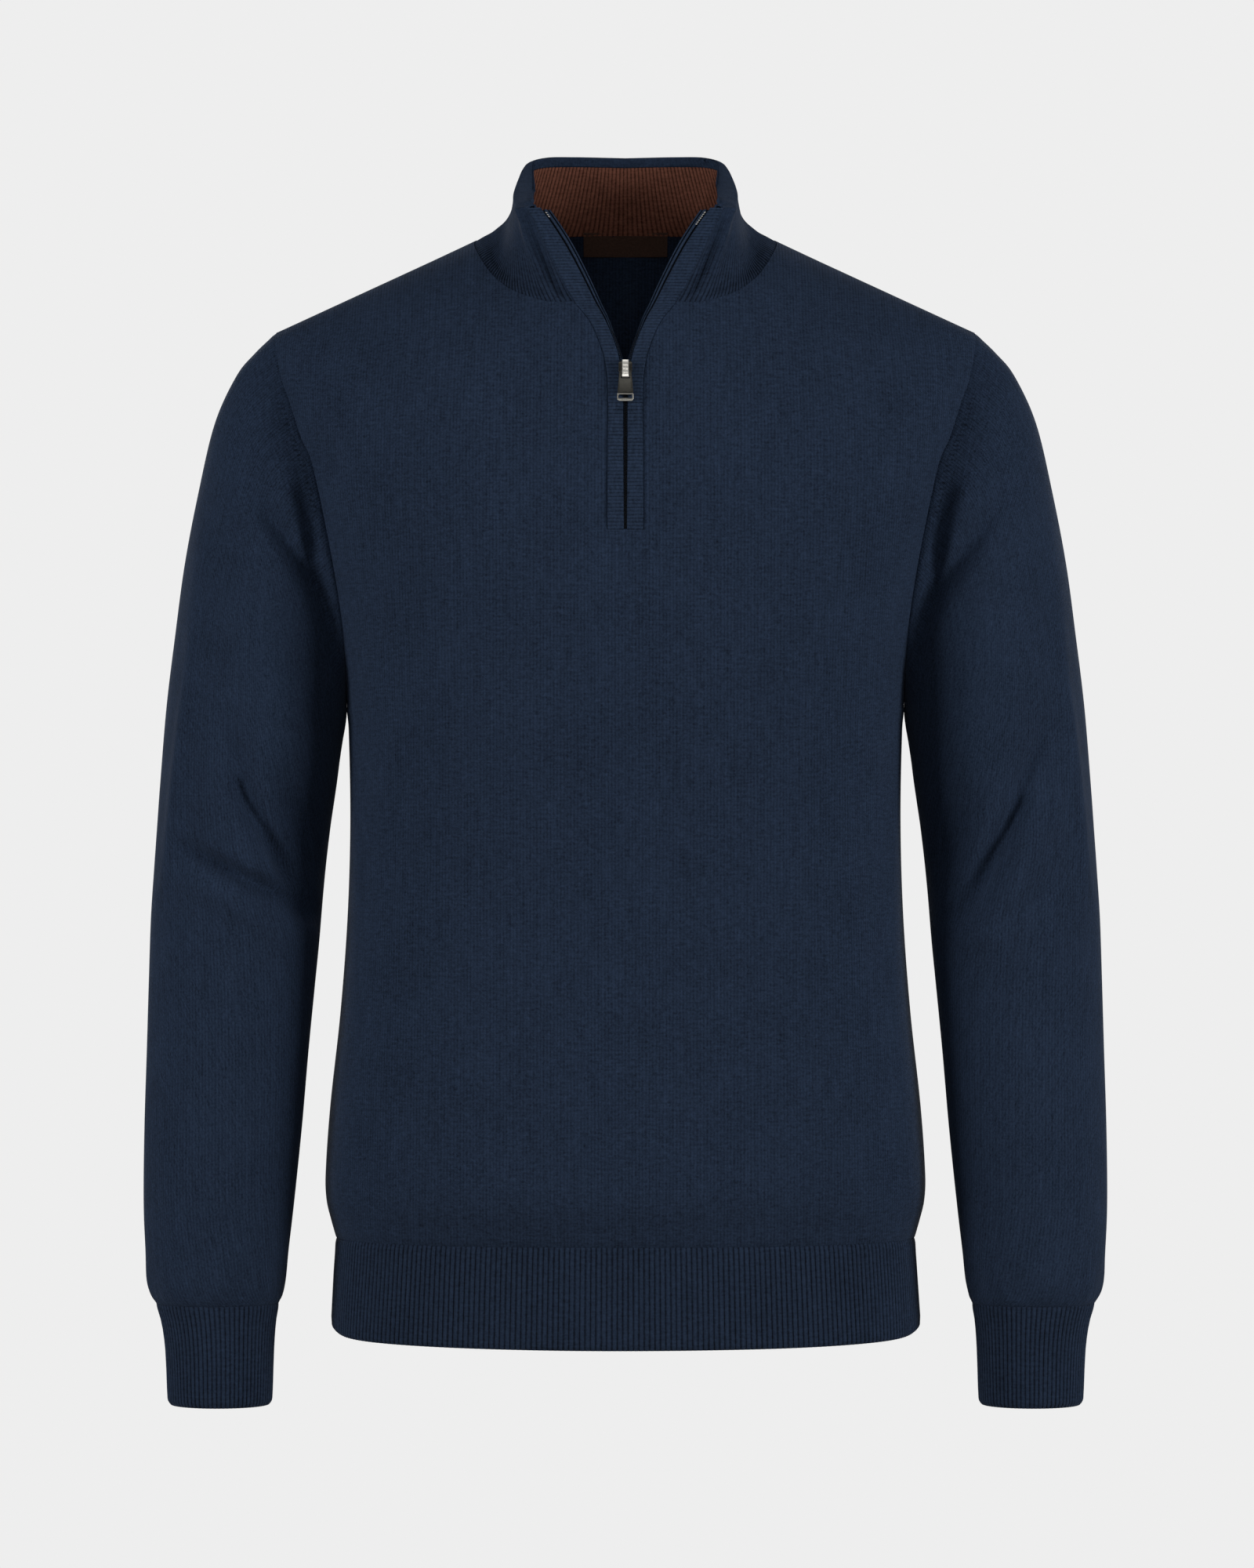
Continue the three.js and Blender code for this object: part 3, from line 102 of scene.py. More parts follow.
# Folds by piece, side (1 is the wearer's left) and face (-1 is the front): x and z of both ends, width, depth.
# A negative depth is a ridge. The small ones are left out of the solids.
folds = {
    ("sleeve", -1, -1): [
        (-259, -180, -267, -262, 5.5, -3.4), (-264, -250, -282, -402, 5, -5.5), (-229, -157, -191, -216, 6, 6.6),
        (-196, -206, -175, -250, 6, 5), (-210, -146, -187, -200, 8, -3.2), (-197, -162, -173, -262, 5.5, 9),
        (-245, -298, -230, -352, 7.5, 6), (-235, -340, -191, -416, 6.5, 12), (-207, -340, -184, -402, 12, 10),
        (-268, -377, -217, -403, 5, 11), (-222, -398, -186, -423, 6, 8), (-264, -398, -206, -432, 8, -4.4),
        (-203, -470, -228, -530, 7, 1.0), (-282, -560, -272, -628, 5, -1.1), (-262, -585, -264, -640, 5, 0.8),
        (-210, -590, -220, -632, 5, -1.2), (-270, -262, -275, -372, 8, -1.1),
    ],
    ("sleeve", -1, 1): [
        (-268, -352, -205, -402, 12, 4.5), (-240, -180, -200, -262, 13, 3), (-222, -430, -262, -478, 9, 1.6),
        (-275, -560, -268, -632, 5, -1.1),
    ],
    ("sleeve", 1, -1): [
        (260, -182, 269, -262, 5.5, -3.2), (265, -246, 283, -404, 5, -5.5), (235, -156, 177, -243, 6.5, 6.2),
        (214, -150, 191, -196, 8, -2.6), (196, -158, 176, -258, 6, 8.4), (257, -304, 235, -360, 7.5, 7.5),
        (240, -350, 203, -418, 7, 12), (206, -352, 187, -408, 12, 8), (264, -348, 221, -432, 8, -3.4),
        (268, -392, 226, -426, 6.5, 3.4), (268, -268, 283, -382, 8, -1.2), (206, -470, 226, -528, 7, 0.9),
        (281, -566, 273, -630, 5, -1.1), (213, -588, 222, -634, 5, -1.1),
    ],
    ("sleeve", 1, 1): [
        (262, -366, 202, -408, 12, 4.5), (242, -190, 204, -255, 13, 2.6), (226, -440, 264, -486, 9, 1.5),
        (275, -556, 268, -630, 5, -1.1),
    ],
    ("body", -1, -1): [
        (-158, -486, -171, -596, 6, -2.8), (-168, -430, -179, -560, 7, 2.6), (-160, -215, -128, -300, 18, 2.4),
        (-131, -314, -143, -400, 8, 4.6), (-153, -340, -167, -404, 6, -2.6), (-150, -560, -154, -606, 6, 0.7),
    ],
    ("body", 1, -1): [
        (164, -528, 172, -590, 9, -2.2), (160, -215, 130, -292, 18, 2.2), (134, -322, 159, -440, 8.5, 4.0),
        (150, -556, 155, -606, 6, 0.7),
    ],
    ("body", -1, 1): [
        (-158, -210, -118, -310, 20, 2.6), (-122, -500, -40, -522, 14, 1.3), (-150, -548, -156, -604, 8, -1.2),
    ],
    ("body", 1, 1): [
        (158, -210, 122, -302, 20, 2.4), (128, -512, 30, -538, 13, 1.2), (150, -545, 156, -604, 8, -1.2),
    ],
}


def mix(a, b, t):
    return a + (b - a) * t


def hump(value, middle, wide):
    # 1 at its middle, falling off softly on both sides
    return np.exp(-((value - middle) / wide) ** 2)


def climb(value, reach):
    return np.clip(value / reach, 0, 1)


def fall(value, reach):
    return np.clip(1 - value / reach, 0, 1)


def stacked(*parts):
    return np.stack(np.broadcast_arrays(*parts), axis=-1)


def lengthOf(vectors):
    return np.linalg.norm(vectors, axis=-1, keepdims=True)


def runAlong(points):
    # the distance covered at each point of a line
    return np.r_[0, np.cumsum(np.linalg.norm(np.diff(points, axis=0), axis=-1))]


def hermite(t, a, b, slopeA, slopeB):
    t2, t3 = t * t, t * t * t
    return (2 * t3 - 3 * t2 + 1) * a + (t3 - 2 * t2 + t) * slopeA + (3 * t2 - 2 * t3) * b + (t3 - t2) * slopeB


def alongRows(column, u):
    # a smooth curve through one column, at a place counted in rows
    column = np.asarray(column, float)
    u = np.asarray(u, float)
    last = len(column) - 1
    i = np.clip(np.floor(u).astype(int), 0, last - 1)
    t = u - i
    before, a, b, after = (column[np.clip(i + k, 0, last)] for k in (-1, 0, 1, 2))
    m0 = (b - before) / np.where(i > 0, 2, 1)
    m1 = (after - a) / np.where(i < last - 1, 2, 1)
    return hermite(t, a, b, m0, m1)


def atKey(keys, column, value):
    # a smooth curve through a column whose rows are unevenly spaced
    keys = np.asarray(keys, float)
    column = np.asarray(column, float)
    value = np.asarray(value, float)
    last = len(keys) - 1
    i = np.clip(np.searchsorted(keys, value, side="right") - 1, 0, last - 1)
    low = np.maximum(np.arange(last + 1) - 1, 0)
    high = np.minimum(np.arange(last + 1) + 1, last)
    slope = (column[high] - column[low]) / (keys[high] - keys[low])
    h = keys[i + 1] - keys[i]
    t = np.clip((value - keys[i]) / h, 0, 1)
    return hermite(t, column[i], column[i + 1], h * slope[i], h * slope[i + 1])


def evenly(points, steps):
    # places at equal distances along a finely drawn line
    lengths = runAlong(points)
    want = np.linspace(0, lengths[-1], steps + 1)
    return np.stack([np.interp(want, lengths, points[:, k]) for k in range(3)], axis=1)


def torsoY(x, z, face):
    # how far the body's front (face -1) or back (face 1) stands out at a place
    half = atKey(torso["z"], torso["half"], z)
    out = atKey(torso["z"], torso["front" if face < 0 else "back"], z)
    power = bodyForm["squareness"]
    ax = np.abs(x)
    full = out * np.maximum(0, 1 - (ax / half) ** power) ** (1 / power)
    flat = bodyForm["neckFlat"]
    across = np.where(ax > flat, ax, (ax * ax + flat * flat) / (2 * flat))
    ridge = bodyForm["neckSideZ"] + (bodyForm["neckSideX"] - across) * bodyForm["shoulderSlope"]
    down = np.clip((ridge - z) / bodyForm["archDepth"], 0, 1)
    arch = np.sqrt(1 - (1 - down) ** 2)
    return bodyForm["ridgeY"] * (1 - arch) + face * full * arch


def foldDepth(piece, side, face, x, z):
    total = np.zeros(np.broadcast(x, z).shape)
    for x1, z1, x2, z2, wide, deep in folds[piece, side, face]:
        dx, dz = x2 - x1, z2 - z1
        t = np.clip(((x - x1) * dx + (z - z1) * dz) / (dx * dx + dz * dz), 0, 1)
        away = np.hypot(x - x1 - t * dx, z - z1 - t * dz)
        total += deep * np.sin(np.pi * mix(0.14, 0.86, t)) * hump(away, 0, wide)
    return total


def armholeLine(face, steps):
    u = np.linspace(0, len(armhole["z"]) - 1, 900)
    names = ("x", "front", "z") if face < 0 else ("backX", "back", "z")
    return evenly(np.stack([alongRows(armhole[n], u) for n in names], axis=1), steps)


def neckLine(fromRow, toRow, steps):
    u = np.linspace(fromRow, toRow, 900)
    return evenly(np.stack([alongRows(collar[n], u) for n in ("x", "y", "z")], axis=1), steps)


def useOnly(obj):
    bpy.ops.object.select_all(action="DESELECT")
    obj.select_set(True)
    bpy.context.view_layer.objects.active = obj


def clothObject(name, patches, material):
    # patches: grids of points and of knit places (columns across, courses up), with the side they show
    points, quads, knit = [], [], []
    start = 0
    for grid, place, showing in patches:
        rows, columns = grid.shape[:2]
        ids = start + np.arange(rows * columns).reshape(rows, columns)
        quad = stacked(ids[:-1, :-1], ids[:-1, 1:], ids[1:, 1:], ids[1:, :-1]).reshape(-1, 4)
        uv = np.stack([place[:-1, :-1], place[:-1, 1:], place[1:, 1:], place[1:, :-1]], axis=-2).reshape(-1, 4, 2)
        flatPoints = grid.reshape(-1, 3)
        corner = flatPoints[quad - start]
        normal = np.cross(corner[:, 2] - corner[:, 0], corner[:, 3] - corner[:, 1])
        way = corner.mean(axis=1) - showing(corner.mean(axis=1))
        if np.sum(normal * way) < 0:
            quad, uv = quad[:, ::-1], uv[:, ::-1]
        points.append(flatPoints)
        quads.append(quad)
        knit.append(uv)
        start += rows * columns
    points = np.concatenate(points)
    quads = np.concatenate(quads)
    knit = np.concatenate(knit)
    merged, index = np.unique(np.round(points, 3), axis=0, return_inverse=True)
    quads = index.reshape(-1)[quads]
    mesh = bpy.data.meshes.new(name)
    mesh.from_pydata((merged * mm).tolist(), [], quads.tolist())
    layer = mesh.uv_layers.new(name="knit")
    layer.data.foreach_set("uv", (knit.reshape(-1) * mm).astype(np.float32))
    mesh.validate()
    mesh.update()
    obj = bpy.data.objects.new(name, mesh)
    bpy.context.scene.collection.objects.link(obj)
    mesh.materials.append(material)
    return obj


def finishCloth(obj, thickness, node):
    # gives the cloth its wall, hangs it on the garment and hides the solid it replaces
    useOnly(obj)
    wall = obj.modifiers.new("wall", "SOLIDIFY")
    wall.thickness = thickness * mm
    wall.offset = -1
    wall.use_even_offset = False
    wall.use_quality_normals = True
    bpy.ops.object.modifier_apply(modifier=wall.name)
    bpy.ops.object.shade_smooth_by_angle(angle=math.radians(50))
    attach(obj, "garment")
    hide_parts(node)
    return obj


def straightInside(p):
    # a reference well inside the body, level with each point
    return stacked(p[:, 0] * 0.5, 0.0, np.minimum(p[:, 2], -70))


# Knit material: stitches in columns and courses on the knit map, with the yarn's uneven colour and painted shade in
# the valleys and furrows.
def addNode(tree, kind, inputs=None):
    # a shader node whose inputs are linked to a socket or set to a plain value
    node = tree.nodes.new("ShaderNode" + kind)
    for slot, value in (inputs or {}).items():
        if isinstance(value, bpy.types.NodeSocket):
            tree.links.new(value, node.inputs[slot])
        else:
            node.inputs[slot].default_value = value
    return node


def newMaterial(name):
    material = bpy.data.materials.new(name)
    material.use_nodes = True
    tree = material.node_tree
    tree.nodes.clear()
    shader = addNode(tree, "BsdfPrincipled")
    addNode(tree, "OutputMaterial", {"Surface": shader.outputs["BSDF"]})
    return material, tree, shader


def calc(tree, kind, a, b=None):
    node = addNode(tree, "Math", {0: a} if b is None else {0: a, 1: b})
    node.operation = kind
    return node.outputs[0]


def plus(tree, base, part, amount):
    return calc(tree, "ADD", base, calc(tree, "MULTIPLY", part, amount))


def swing(tree, kind, value, turn):
    return calc(tree, kind, calc(tree, "MULTIPLY", value, turn))


def knitMap(tree):
    # the knit map itself, then how far across it and how far up it
    place = addNode(tree, "UVMap")
    place.uv_map = "knit"
    apart = addNode(tree, "SeparateXYZ", {0: place.outputs["UV"]})
    return place.outputs["UV"], apart.outputs["X"], apart.outputs["Y"]


def colourBy(tree, shader, share, dark, light, low=0.0, high=1.0):
    # dark where the share is low, light where it is high
    ramp = addNode(tree, "ValToRGB", {"Fac": share})
    for end, spot, colour in ((0, low, dark), (1, high, light)):
        ramp.color_ramp.elements[end].position = spot
        ramp.color_ramp.elements[end].color = (*colour, 1)
    tree.links.new(ramp.outputs["Color"], shader.inputs["Base Color"])


def bumpBy(tree, shader, height, strength, distance):
    bump = addNode(tree, "Bump", {"Height": height, "Strength": strength, "Distance": distance})
    tree.links.new(bump.outputs["Normal"], shader.inputs["Normal"])


def knitCloth(name, look):
    material, tree, shader = newMaterial(name)
    knit, across, up = knitMap(tree)
    wale = calc(tree, "DIVIDE", across, look["wale"] * mm)
    course = calc(tree, "DIVIDE", up, look["course"] * mm)
    waleShare = calc(tree, "FRACT", wale)
    waleRound = swing(tree, "SINE", waleShare, math.pi)
    legRound = swing(tree, "SINE", swing(tree, "FRACT", wale, 2.0), math.pi)
    slant = calc(tree, "ABSOLUTE", calc(tree, "SUBTRACT", waleShare, 0.5))
    loops = swing(tree, "SINE", plus(tree, course, slant, 1.3), 2 * math.pi)
    height = plus(tree, plus(tree, waleRound, legRound, 0.5), loops, 0.3)

    def cloud(source, scale, detail):
        noise = addNode(tree, "TexNoise", {"Vector": source, "Scale": scale, "Detail": detail, "Roughness": 0.6})
        return calc(tree, "SUBTRACT", noise.outputs["Fac"], 0.5)

    def stretched(wide, long):
        return addNode(tree, "Mapping", {"Vector": knit, "Scale": (wide, long, 1)}).outputs["Vector"]

    where = addNode(tree, "TexCoord").outputs["Object"]
    grain = cloud(where, look["grainScale"], 2)
    patches = cloud(where, look["cloudScale"], 2)
    streaks = cloud(stretched(look["streakScale"], look["streakScale"] * 0.08), 1.0, 2)
    slubs = cloud(stretched(look["streakScale"] * 0.35, look["streakScale"] * 1.5), 1.0, 1)
    share = plus(tree, 0.5, grain, look["grain"])
    # grain, clouds, streaks and slubs are the yarn's uneven colour; the valleys between the wales are painted darker
    # as shade
    for part, amount in ((patches, look["cloud"]), (streaks, look["streak"]), (slubs, look["slub"]),
                         (calc(tree, "SUBTRACT", waleRound, 0.64), look["valleyShade"])):
        share = plus(tree, share, part, amount)
    if look.get("pitch"):
        # painted shade: the furrow between two ribs is painted darker
        rib = calc(tree, "DIVIDE", across, look["pitch"] * mm)
        crest = calc(tree, "ABSOLUTE", swing(tree, "COSINE", rib, math.pi))
        furrowShade = calc(tree, "POWER", calc(tree, "SUBTRACT", 1.0, crest), 1.6)
        # the painted furrow shade thins out higher up, where the ribs lie flat
        if look.get("fadeFrom"):
            fade = addNode(tree, "MapRange", {"Value": up, "From Min": look["fadeFrom"] * mm, "To Min": 1,
                                              "From Max": look["fadeTo"] * mm, "To Max": look["fadeEnd"]})
            furrowShade = calc(tree, "MULTIPLY", furrowShade, fade.outputs["Result"])
        share = plus(tree, calc(tree, "ADD", share, look["crest"]), furrowShade, -look["furrowShade"])
    if look.get("marks"):
        # a row of short slanted stitches where the sleeve was narrowed, front and back
        marks = look["marks"]
        run = calc(tree, "DIVIDE", calc(tree, "ABSOLUTE", across), mm)
        out = calc(tree, "DIVIDE", up, -mm)
        off = calc(tree, "ABSOLUTE", calc(tree, "SUBTRACT", out, marks["fromSeam"]))
        beat = calc(tree, "FRACT", plus(tree, calc(tree, "DIVIDE", run, marks["apart"]), out, marks["slant"]))
        dash = calc(tree, "LESS_THAN", beat, marks["wide"])
        for kind, value, limit in (("LESS_THAN", off, marks["half"]), ("GREATER_THAN", run, marks["first"]),
                                   ("LESS_THAN", run, marks["last"])):
            dash = calc(tree, "MULTIPLY", dash, calc(tree, kind, value, limit))
        share = plus(tree, share, dash, -marks["shade"])
        height = plus(tree, height, dash, -marks["deep"])
    colourBy(tree, shader, share, [c * 0.28 for c in look["dye"]], [c * 1.72 for c in look["dye"]])
    bumpBy(tree, shader, plus(tree, height, grain, look["fuzz"]), look["bump"], 0.0003)
    shader.inputs["Roughness"].default_value = look["rough"]
    shader.inputs["Specular IOR Level"].default_value = look["specular"]
    shader.inputs["Sheen Weight"].default_value = look["sheen"]
    shader.inputs["Sheen Roughness"].default_value = 0.45
    shader.inputs["Sheen Tint"].default_value = (*look["sheenTint"], 1)
    return material


navyLook = {
    "dye": (0.0132, 0.0222, 0.0425), "wale": 2.05, "course": 1.4, "grainScale": 760, "cloudScale": 24,
    "streakScale": 400, "grain": 1.05, "cloud": 0.25, "streak": 0.4, "slub": 0.55, "valleyShade": 0.2, "bump": 0.4,
    "fuzz": 1.4, "rough": 0.95, "specular": 0.05, "sheen": 0.035, "sheenTint": (0.5, 0.66, 1.0),
}
ribLook = {**navyLook, "dye": (0.0126, 0.0210, 0.0400), "wale": 1.3, "course": 0.95, "grain": 0.9, "valleyShade": 0.05,
           "streak": 0.2, "crest": 0.1, "furrowShade": 0.62}
brownLook = {**ribLook, "dye": (0.119, 0.0462, 0.0304), "sheenTint": (1.0, 0.7, 0.6), "grain": 0.8,
             "crest": 0.12, "furrowShade": 0.6}
navyKnit = knitCloth("navy_knit", navyLook)


def wovenCloth(name, look):
    material, tree, shader = newMaterial(name)
    _, across, up = knitMap(tree)
    over, under = (swing(tree, "SINE", way, 2 * math.pi / (look["thread"] * mm)) for way in (across, up))
    weave = calc(tree, "MULTIPLY", over, under)
    where = addNode(tree, "TexCoord").outputs["Object"]
    share = plus(tree, addNode(tree, "TexNoise", {"Vector": where, "Scale": 900}).outputs["Fac"], weave, 0.2)
    if look.get("furrowShadeWide"):
        # painted shade: the two furrows beside the cord are painted dark, while the cord and the outer lip keep the
        # full colour
        furrowShadeRamp = addNode(tree, "ValToRGB", {"Fac": calc(tree, "DIVIDE", across, look["furrowShadeWide"] * mm)})
        furrowShadeRamp.color_ramp.interpolation = "EASE"
        for spot, level in ((0.2, 0.0), (0.27, 0.9), (0.60, 1.0), (0.69, 0.0), (0.76, 0.05), (0.84, 0.8)):
            furrowShadeRamp.color_ramp.elements.new(spot).color = (level, level, level, 1)
        furrowShadeRamp.color_ramp.elements[0].color = (0, 0, 0, 1)
        furrowShadeRamp.color_ramp.elements[-1].color = (1, 1, 1, 1)
        share = calc(tree, "MULTIPLY", share, furrowShadeRamp.outputs["Color"])
    colourBy(tree, shader, share, look["dark"], look["light"], 0.15, 0.7)
    bumpBy(tree, shader, weave, 0.3, 0.0002)
    shader.inputs["Roughness"].default_value = look["rough"]
    shader.inputs["Specular IOR Level"].default_value = look["specular"]
    return material


zipTapeCloth = wovenCloth("zip_tape", {"dark": (0.005, 0.009, 0.018), "light": (0.024, 0.040, 0.074),
                                       "thread": 0.5, "rough": 0.85, "specular": 0.08, "furrowShadeWide": 5})
labelCloth = wovenCloth("label", {"dark": (0.036, 0.019, 0.014), "light": (0.072, 0.038, 0.027),
                                  "thread": 0.4, "rough": 0.6, "specular": 0.15})


def metal(name, look):
    material, tree, shader = newMaterial(name)
    where = addNode(tree, "TexCoord").outputs["Object"]
    lines = addNode(tree, "Mapping", {"Vector": where, "Scale": look["brush"]}).outputs["Vector"]
    scratch = addNode(tree, "TexNoise", {"Vector": lines, "Scale": 1.0, "Detail": 3}).outputs["Fac"]
    colourBy(tree, shader, scratch, look["dark"], look["light"], 0.3, 0.7)
    worn = addNode(tree, "MapRange", {"Value": scratch, "To Min": look["rough"] - 0.07,
                                      "To Max": look["rough"] + 0.1})
    tree.links.new(worn.outputs["Result"], shader.inputs["Roughness"])
    bumpBy(tree, shader, scratch, look["bump"], 0.0001)
    shader.inputs["Metallic"].default_value = 1
    return material


gunmetal = metal("dark_metal", {"dark": (0.030, 0.029, 0.026), "light": (0.062, 0.060, 0.053),
                                "rough": 0.42, "brush": (900, 900, 9000), "bump": 0.25})
brightMetal = metal("bright_metal", {"dark": (0.60, 0.58, 0.54), "light": (0.82, 0.80, 0.75),
                                     "rough": 0.42, "brush": (2500, 2500, 2500), "bump": 0.12})
wornMetal = metal("worn_metal", {"dark": (0.16, 0.155, 0.14), "light": (0.30, 0.29, 0.26),
                                 "rough": 0.4, "brush": (2500, 2500, 2500), "bump": 0.15})
blackMetal = metal("blackened_metal", {"dark": (0.006, 0.006, 0.007), "light": (0.014, 0.014, 0.015),
                                       "rough": 0.5, "brush": (2500, 2500, 2500), "bump": 0.1})
print("materials made")

seam = {"groove": 0.7, "grooveWide": 1.5, "roll": 0.35, "rollAt": 3.6, "rollWide": 1.7}


def seamDip(distance, share=1.0):
    # the pull-in right at a seam and the small roll of its allowance beside it
    return share * (seam["roll"] * hump(distance, seam["rollAt"], seam["rollWide"])
                    - seam["groove"] * hump(distance, 0, seam["grooveWide"]))


mapForm = {"low": -700, "high": 30, "step": 5, "columns": 160, "reach": 0.995}


def acrossBody(x, z, face):
    # distance round the body from its middle, at one height: where the knit's columns run
    heights = np.arange(mapForm["low"], mapForm["high"] + 1, mapForm["step"], dtype=float)
    shares = np.linspace(0, mapForm["reach"], mapForm["columns"])
    half = atKey(torso["z"], torso["half"], heights)[:, None]
    gx = shares[None, :] * half
    gy = torsoY(gx, np.minimum(heights, -60)[:, None] + 0 * gx, face)
    step = np.hypot(np.diff(gx, axis=1), np.diff(gy, axis=1))
    run = np.concatenate([np.zeros((len(heights), 1)), np.cumsum(step, axis=1)], axis=1)
    row = np.clip((z - mapForm["low"]) / mapForm["step"], 0, len(heights) - 1.001)
    last = len(shares) - 1
    place = np.clip(np.abs(x) / atKey(torso["z"], torso["half"], z) / mapForm["reach"] * last, 0, last - 0.001)
    r0, c0 = row.astype(int), place.astype(int)
    fr, fc = row - r0, place - c0
    low = mix(run[r0, c0], run[r0, c0 + 1], fc)
    high = mix(run[r0 + 1, c0], run[r0 + 1, c0 + 1], fc)
    return np.sign(x) * mix(low, high, fr)


def backRise(z):
    # the last bit of the back stands out to meet the collar
    share = np.clip((z - bodyForm["underarmZ"]) / (collar["z"][-1] - bodyForm["underarmZ"]), 0, 1.02)
    return (collar["y"][-1] - torsoY(0, collar["z"][-1], 1)) * share ** 24


def bodyPanel(name, face, node):
    steps = len(armhole["z"]) + 1
    upper = steps * bodyForm["upperSteps"]
    columns = bodyForm["columns"]
    share = np.sin(np.pi / 2 * np.linspace(0, 1, columns + 1)) ** 0.86
    outer = armholeLine(face, upper)[::-1]
    if face < 0:
        slot, throat = 3 * bodyForm["upperSteps"], 7 * bodyForm["upperSteps"]
        zLow = np.linspace(bodyForm["underarmZ"], bodyForm["placketZ"], slot + 1)
        zMid = np.linspace(bodyForm["placketZ"], collar["z"][0], throat - slot + 1)[1:]
        xMid = atKey(zipBand["z"], zipBand["sewnX"], zMid) + 0.3
        edge = np.concatenate([
            stacked(bodyForm["bandHalf"], torsoY(bodyForm["bandHalf"], zLow, face), zLow),
            stacked(xMid, torsoY(xMid, zMid, face), zMid),
            neckLine(0, 6, upper - throat)[1:]])
    else:
        throat = 7 * bodyForm["upperSteps"]
        zBack = np.linspace(bodyForm["underarmZ"], collar["z"][-1], throat + 1)
        edge = np.concatenate([
            stacked(0, torsoY(0, zBack, face) + backRise(zBack), zBack),
            neckLine(11, 6, upper - throat)[1:]])
    patches = []
    for side in (-1, 1):
        zRows = np.linspace(bodyForm["hemZ"], bodyForm["underarmZ"], bodyForm["lowerRows"] + 1)[:-1]
        half = atKey(torso["z"], torso["half"], zRows)[:, None]
        start = bodyForm["bandHalf"] if face < 0 else 0
        x = mix(start, half, share[None, :])
        z = zRows[:, None] + 0 * x
        y = torsoY(x, z, face)
        y[:, -1] = 0
        a, b = edge[:, None, :], outer[:, None, :]
        w = share[None, :]
        xu, zu = mix(a[..., 0], b[..., 0], w), mix(a[..., 2], b[..., 2], w)
        offA = a[..., 1] - torsoY(a[..., 0], a[..., 2], face)
        offB = b[..., 1] - torsoY(b[..., 0], b[..., 2], face)
        tight = 6 + 70 * hump(b[..., 2], bodyForm["underarmZ"], 22)
        yu = torsoY(xu, zu, face) + offA * (1 - w) ** 2 + offB * w ** tight
        yu[-1, :] = bodyForm["ridgeY"]
        x, y, z = np.concatenate([x, xu]), np.concatenate([y, yu]), np.concatenate([z, zu])
        w = np.broadcast_to(share[None, :], x.shape)
        keep = (1 - w ** 8) * np.where(z < bodyForm["underarmZ"], 1, 1 - (1 - w) ** 8)
        depth = keep * foldDepth("body", side, face, side * x, z)
        grid = stacked(side * x, y - face * depth, z)
        # the armhole seam, and the seams at hem, neck and shoulder
        toSeam = np.full(x.shape, 99.0)
        low = bodyForm["lowerRows"]
        toSeam[low:] = np.linalg.norm(grid[low:] - grid[low:, -1:], axis=-1)
        toSeam = np.minimum(toSeam, z - bodyForm["hemZ"])
        ends = grid[low + throat:, 0]
        near = grid[low:].reshape(-1, 1, 3)
        if len(ends):
            gap = np.min(np.linalg.norm(near - ends[None, ::3], axis=-1), axis=1).reshape(x[low:].shape)
            toSeam[low:] = np.minimum(toSeam[low:], gap)
        if face < 0:
            slotEdge = np.abs(x - (atKey(zipBand["z"], zipBand["sewnX"], z) + 0.3))
            beside = (z > bodyForm["placketZ"]) & (z < collar["z"][0])
            toSeam = np.where(beside, np.minimum(toSeam, slotEdge), toSeam)
        armShare = 1 - 0.6 * climb(x, 150) * (z > bodyForm["underarmZ"] - 10)
        grid[..., 1] += face * seamDip(toSeam) * armShare * (toSeam < 98)
        place = stacked(acrossBody(side * x, z, face), z)
        patches.append((grid, place, straightInside))
        if face < 0:
            top = low + slot
            strip = np.linspace(0, bodyForm["bandHalf"], 6)[None, :]
            zs = z[:top + 1, :1] + 0 * strip
            ys = torsoY(strip, zs, face)
            foot = seamDip(np.abs(zs - bodyForm["placketZ"]), 0.2) + seamDip(zs - bodyForm["hemZ"])
            middle = stacked(side * strip, ys + face * foot, zs)
            middle[:, -1] = grid[:top + 1, 0]
            patches.append((middle, stacked(side * strip, zs), straightInside))
    obj = clothObject(name, patches, navyKnit)
    return finishCloth(obj, bodyForm["wall"], node)


front = bodyPanel("front_panel", -1, "front")
back = bodyPanel("back_panel", 1, "back")
print("body made:", len(front.data.polygons), len(back.data.polygons))

sleeveForm = {"stepsPerRow": 10, "wall": 1.3, "gathers": 8, "gatherDepth": 1.3, "smallGathers": 37,
              "smallDepth": 0.28}
sleeveKnit = knitCloth("sleeve_knit", {**navyLook, "marks": {"fromSeam": 5.8, "half": 1.9, "first": 52, "last": 134,
                                                            "apart": 3.7, "slant": 0.2, "wide": 0.4,
                                                            "shade": 0.22, "deep": 1.6}})


